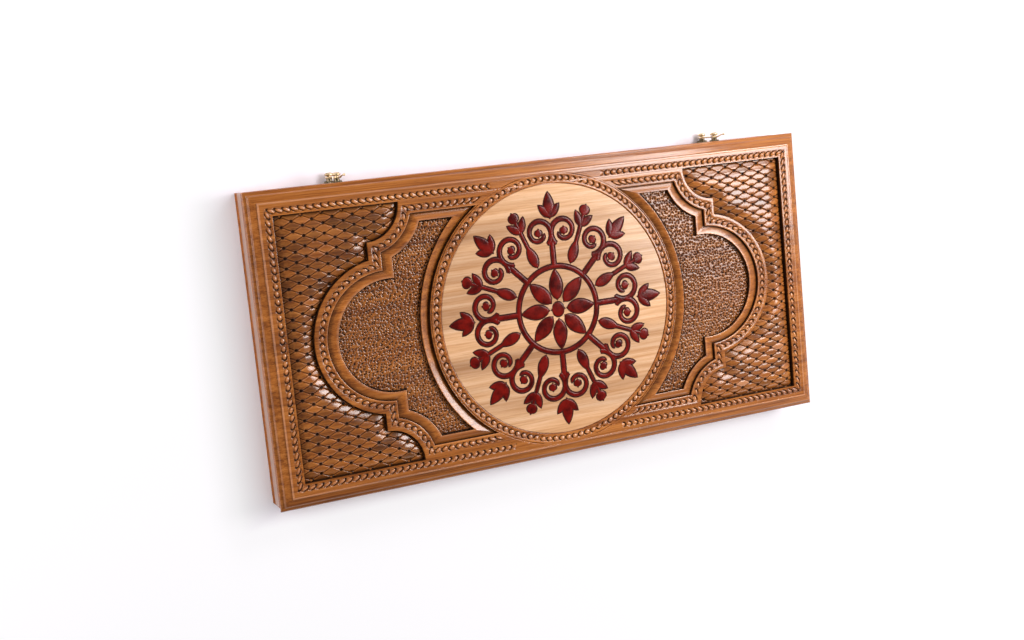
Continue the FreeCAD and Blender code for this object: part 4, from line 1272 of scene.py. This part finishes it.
for piece in carved:
    paint(piece, carved_wood)
for piece in brass_pieces:
    paint(piece, shaded_brass if piece.name.startswith("rosette") else brass)
for piece, material in ((medallion, maple), (inlay_red, lacquer), (inlay_cut, scorched), (kegs, keg_wood),
                        (keg_numbers, red_ink), (cards, card_stock), (card_tints, card_tint), (card_lines, ink),
                        (card_numbers, ink), (markers, counter_wood)):
    paint(piece, material)


# %% [markdown]
# The case keeps the frame's own boards, rails and dividers, because their shape is right. They get
# their finish, and a small bevel that rounds the edges as sandpaper does and catches the light.

# %% Finish of the frame's own parts
def dress(node, material, edge=0.0):
    piece = nodes[node]
    paint(piece, material)
    piece.data.shade_smooth()
    piece.data.set_sharp_from_angle(angle=CREASE)
    if edge:
        bevel = piece.modifiers.new("sanded_edge", "BEVEL")
        bevel.width = edge
        bevel.segments = 2
        bevel.limit_method = "ANGLE"
        bevel.angle_limit = CREASE
        bevel.harden_normals = False


for half, long_wood, short_wood in (("base", rail_wood, rail_wood_end), ("lid", case_wood, case_wood_end)):
    for side in ("front", "back"):
        dress(half + "_rail_" + side, long_wood, 0.3 * mm)
    for side in ("left", "right"):
        dress(half + "_rail_" + side, short_wood, 0.3 * mm)
dress("base_board", case_wood, 0.4 * mm)
for side in ("left", "right"):
    dress("cross_divider_" + side, tray_wood_end, 0.5 * mm)
    dress("tray_divider_" + side, tray_wood, 0.5 * mm)
for node in nodes:
    if node.startswith("hinge"):
        dress(node, brass, 0.12 * mm)
print("dressed", sum(not node.hide_render for node in nodes.values()), "parts of the frame")

# %% [markdown]
# The floor is pale. It glows white wherever it is seen, except in a block as long as the box that
# ends just past its front edge, so the soft shadow shows there. A softbox stands to the right, where
# the polished flats at that end mirror it and turn creamy, and walls that face left stay dark. A
# second one behind it lights the far edge. A long weak lamp low on the left draws bright lines on the
# edge moulding, another in front lifts the near edge, and a dim sky fills the rest.

# %% Floor, lamps and sky
FLOOR_SIZE = 6.0
SHADOW_X, SHADOW_Y = (0.245, 0.275), (-0.130, -0.144)
GLOW_NEAR, GLOW_MORE = 0.06, 0.64
SKY, SKY_HEIGHTS = 0.16, (0.3, 0.65)
WHITE = (1, 1, 1)


def seen_share(material):
    """1 where a ray shows the surface, straight or by way of metal or glass, and 0 where it lights."""
    path = add(material, "ShaderNodeLightPath").outputs
    seen = math_node(material, "ADD", path["Is Camera Ray"], path["Is Glossy Ray"])
    return math_node(material, "ADD", seen, path["Is Transmission Ray"], clamp=True)


def coordinate(material, kind, axis):
    place = add(material, "ShaderNodeTexCoord").outputs[kind]
    return add(material, "ShaderNodeSeparateXYZ", {0: place}).outputs[axis]


def span_share(material, value, span, low=0.0, high=1.0):
    return add(material, "ShaderNodeMapRange", {0: value, 1: span[0], 2: span[1], 3: low, 4: high}).outputs[0]


def make_floor():
    corners = [(x * FLOOR_SIZE, y * FLOOR_SIZE, 0) for x, y in ((-1, -1), (1, -1), (1, 1), (-1, 1))]
    floor = make_piece("floor", corners, [(0, 1, 2, 3)])
    material, shader = new_material("pale_floor")
    feed(material, shader, {"Base Color": (0.97, 0.92, 1.0, 1), "Roughness": 0.9})
    glow = add(material, "ShaderNodeEmission", {"Color": (*WHITE, 1), "Strength": 1.0})
    beside = span_share(material, math_node(material, "ABSOLUTE", coordinate(material, "Object", "X")), SHADOW_X)
    before = span_share(material, coordinate(material, "Object", "Y"), SHADOW_Y)
    beyond = math_node(material, "MAXIMUM", beside, before)
    glowing = math_node(material, "MULTIPLY_ADD", beyond, GLOW_MORE, GLOW_NEAR)
    share = math_node(material, "MULTIPLY", seen_share(material), glowing)
    blend = add(material, "ShaderNodeMixShader", {0: share, 1: shader.outputs[0], 2: glow.outputs[0]})
    feed(material, material.node_tree.nodes["Material Output"], {"Surface": blend.outputs[0]})
    paint(floor, material)


def area_lamp(name, place, target, width, height, power, colour=WHITE):
    data = bpy.data.lights.new(name, "AREA")
    data.shape = "RECTANGLE"
    data.size, data.size_y = width, height
    data.energy = power
    data.color = colour
    lamp = bpy.data.objects.new(name, data)
    lamp.location = place
    lamp.rotation_euler = (Vector(target) - Vector(place)).to_track_quat("-Z", "Y").to_euler()
    scene.collection.objects.link(lamp)


def make_sky():
    """A dim sky that is white near the horizon where it is seen."""
    world = bpy.data.worlds.new("sky")
    scene.world = world
    world.use_nodes = True
    backdrop = span_share(world, coordinate(world, "Generated", "Z"), SKY_HEIGHTS, 1.0, SKY)
    more = math_node(world, "MULTIPLY", seen_share(world), math_node(world, "SUBTRACT", backdrop, SKY))
    strength = math_node(world, "ADD", more, SKY)
    feed(world, world.node_tree.nodes["Background"], {"Color": (*WHITE, 1), "Strength": strength})


make_floor()
area_lamp("key_lamp", (0.93, 0.20, 1.10), (0.1, 0.0, 0.0), 0.62, 0.56, 17.2, (1.0, 0.99, 0.985))
area_lamp("back_lamp", (0.66, 0.82, 0.84), (0.05, 0.0, 0.0), 0.60, 0.36, 7.4)
area_lamp("left_lamp", (-0.88, 0.22, 0.35), (-0.2, 0.0, 0.03), 0.8, 0.10, 4.2)
area_lamp("front_lamp", (0.40, -1.05, 0.58), (0.0, 0.0, 0.0), 1.2, 0.26, 2.4)
make_sky()

# %% [markdown]
# The camera stands to the left of the box and looks across it. Its place and turn were worked out
# once from the corners of the lid and the circle of the medallion, and the lens from their
# perspective.

# %% Camera
CAMERA_PLACE = (-0.4809, 0.1474, TOP + 0.9923)
CAMERA_RIGHT = Vector((0.90493, -0.09782, 0.41416))
CAMERA_UP = Vector((0.14545, 0.98571, -0.08499))
camera_data = bpy.data.cameras.new("camera")
camera_data.sensor_width = 36.0
camera_data.lens = 47.12
camera = bpy.data.objects.new("camera", camera_data)
right = CAMERA_RIGHT.normalized()
back = right.cross(CAMERA_UP).normalized()
up = back.cross(right)
camera.matrix_world = Matrix.Translation(CAMERA_PLACE) @ Matrix((right, up, back)).transposed().to_4x4()
scene.collection.objects.link(camera)
scene.camera = camera
scene.view_settings.view_transform = "Standard"
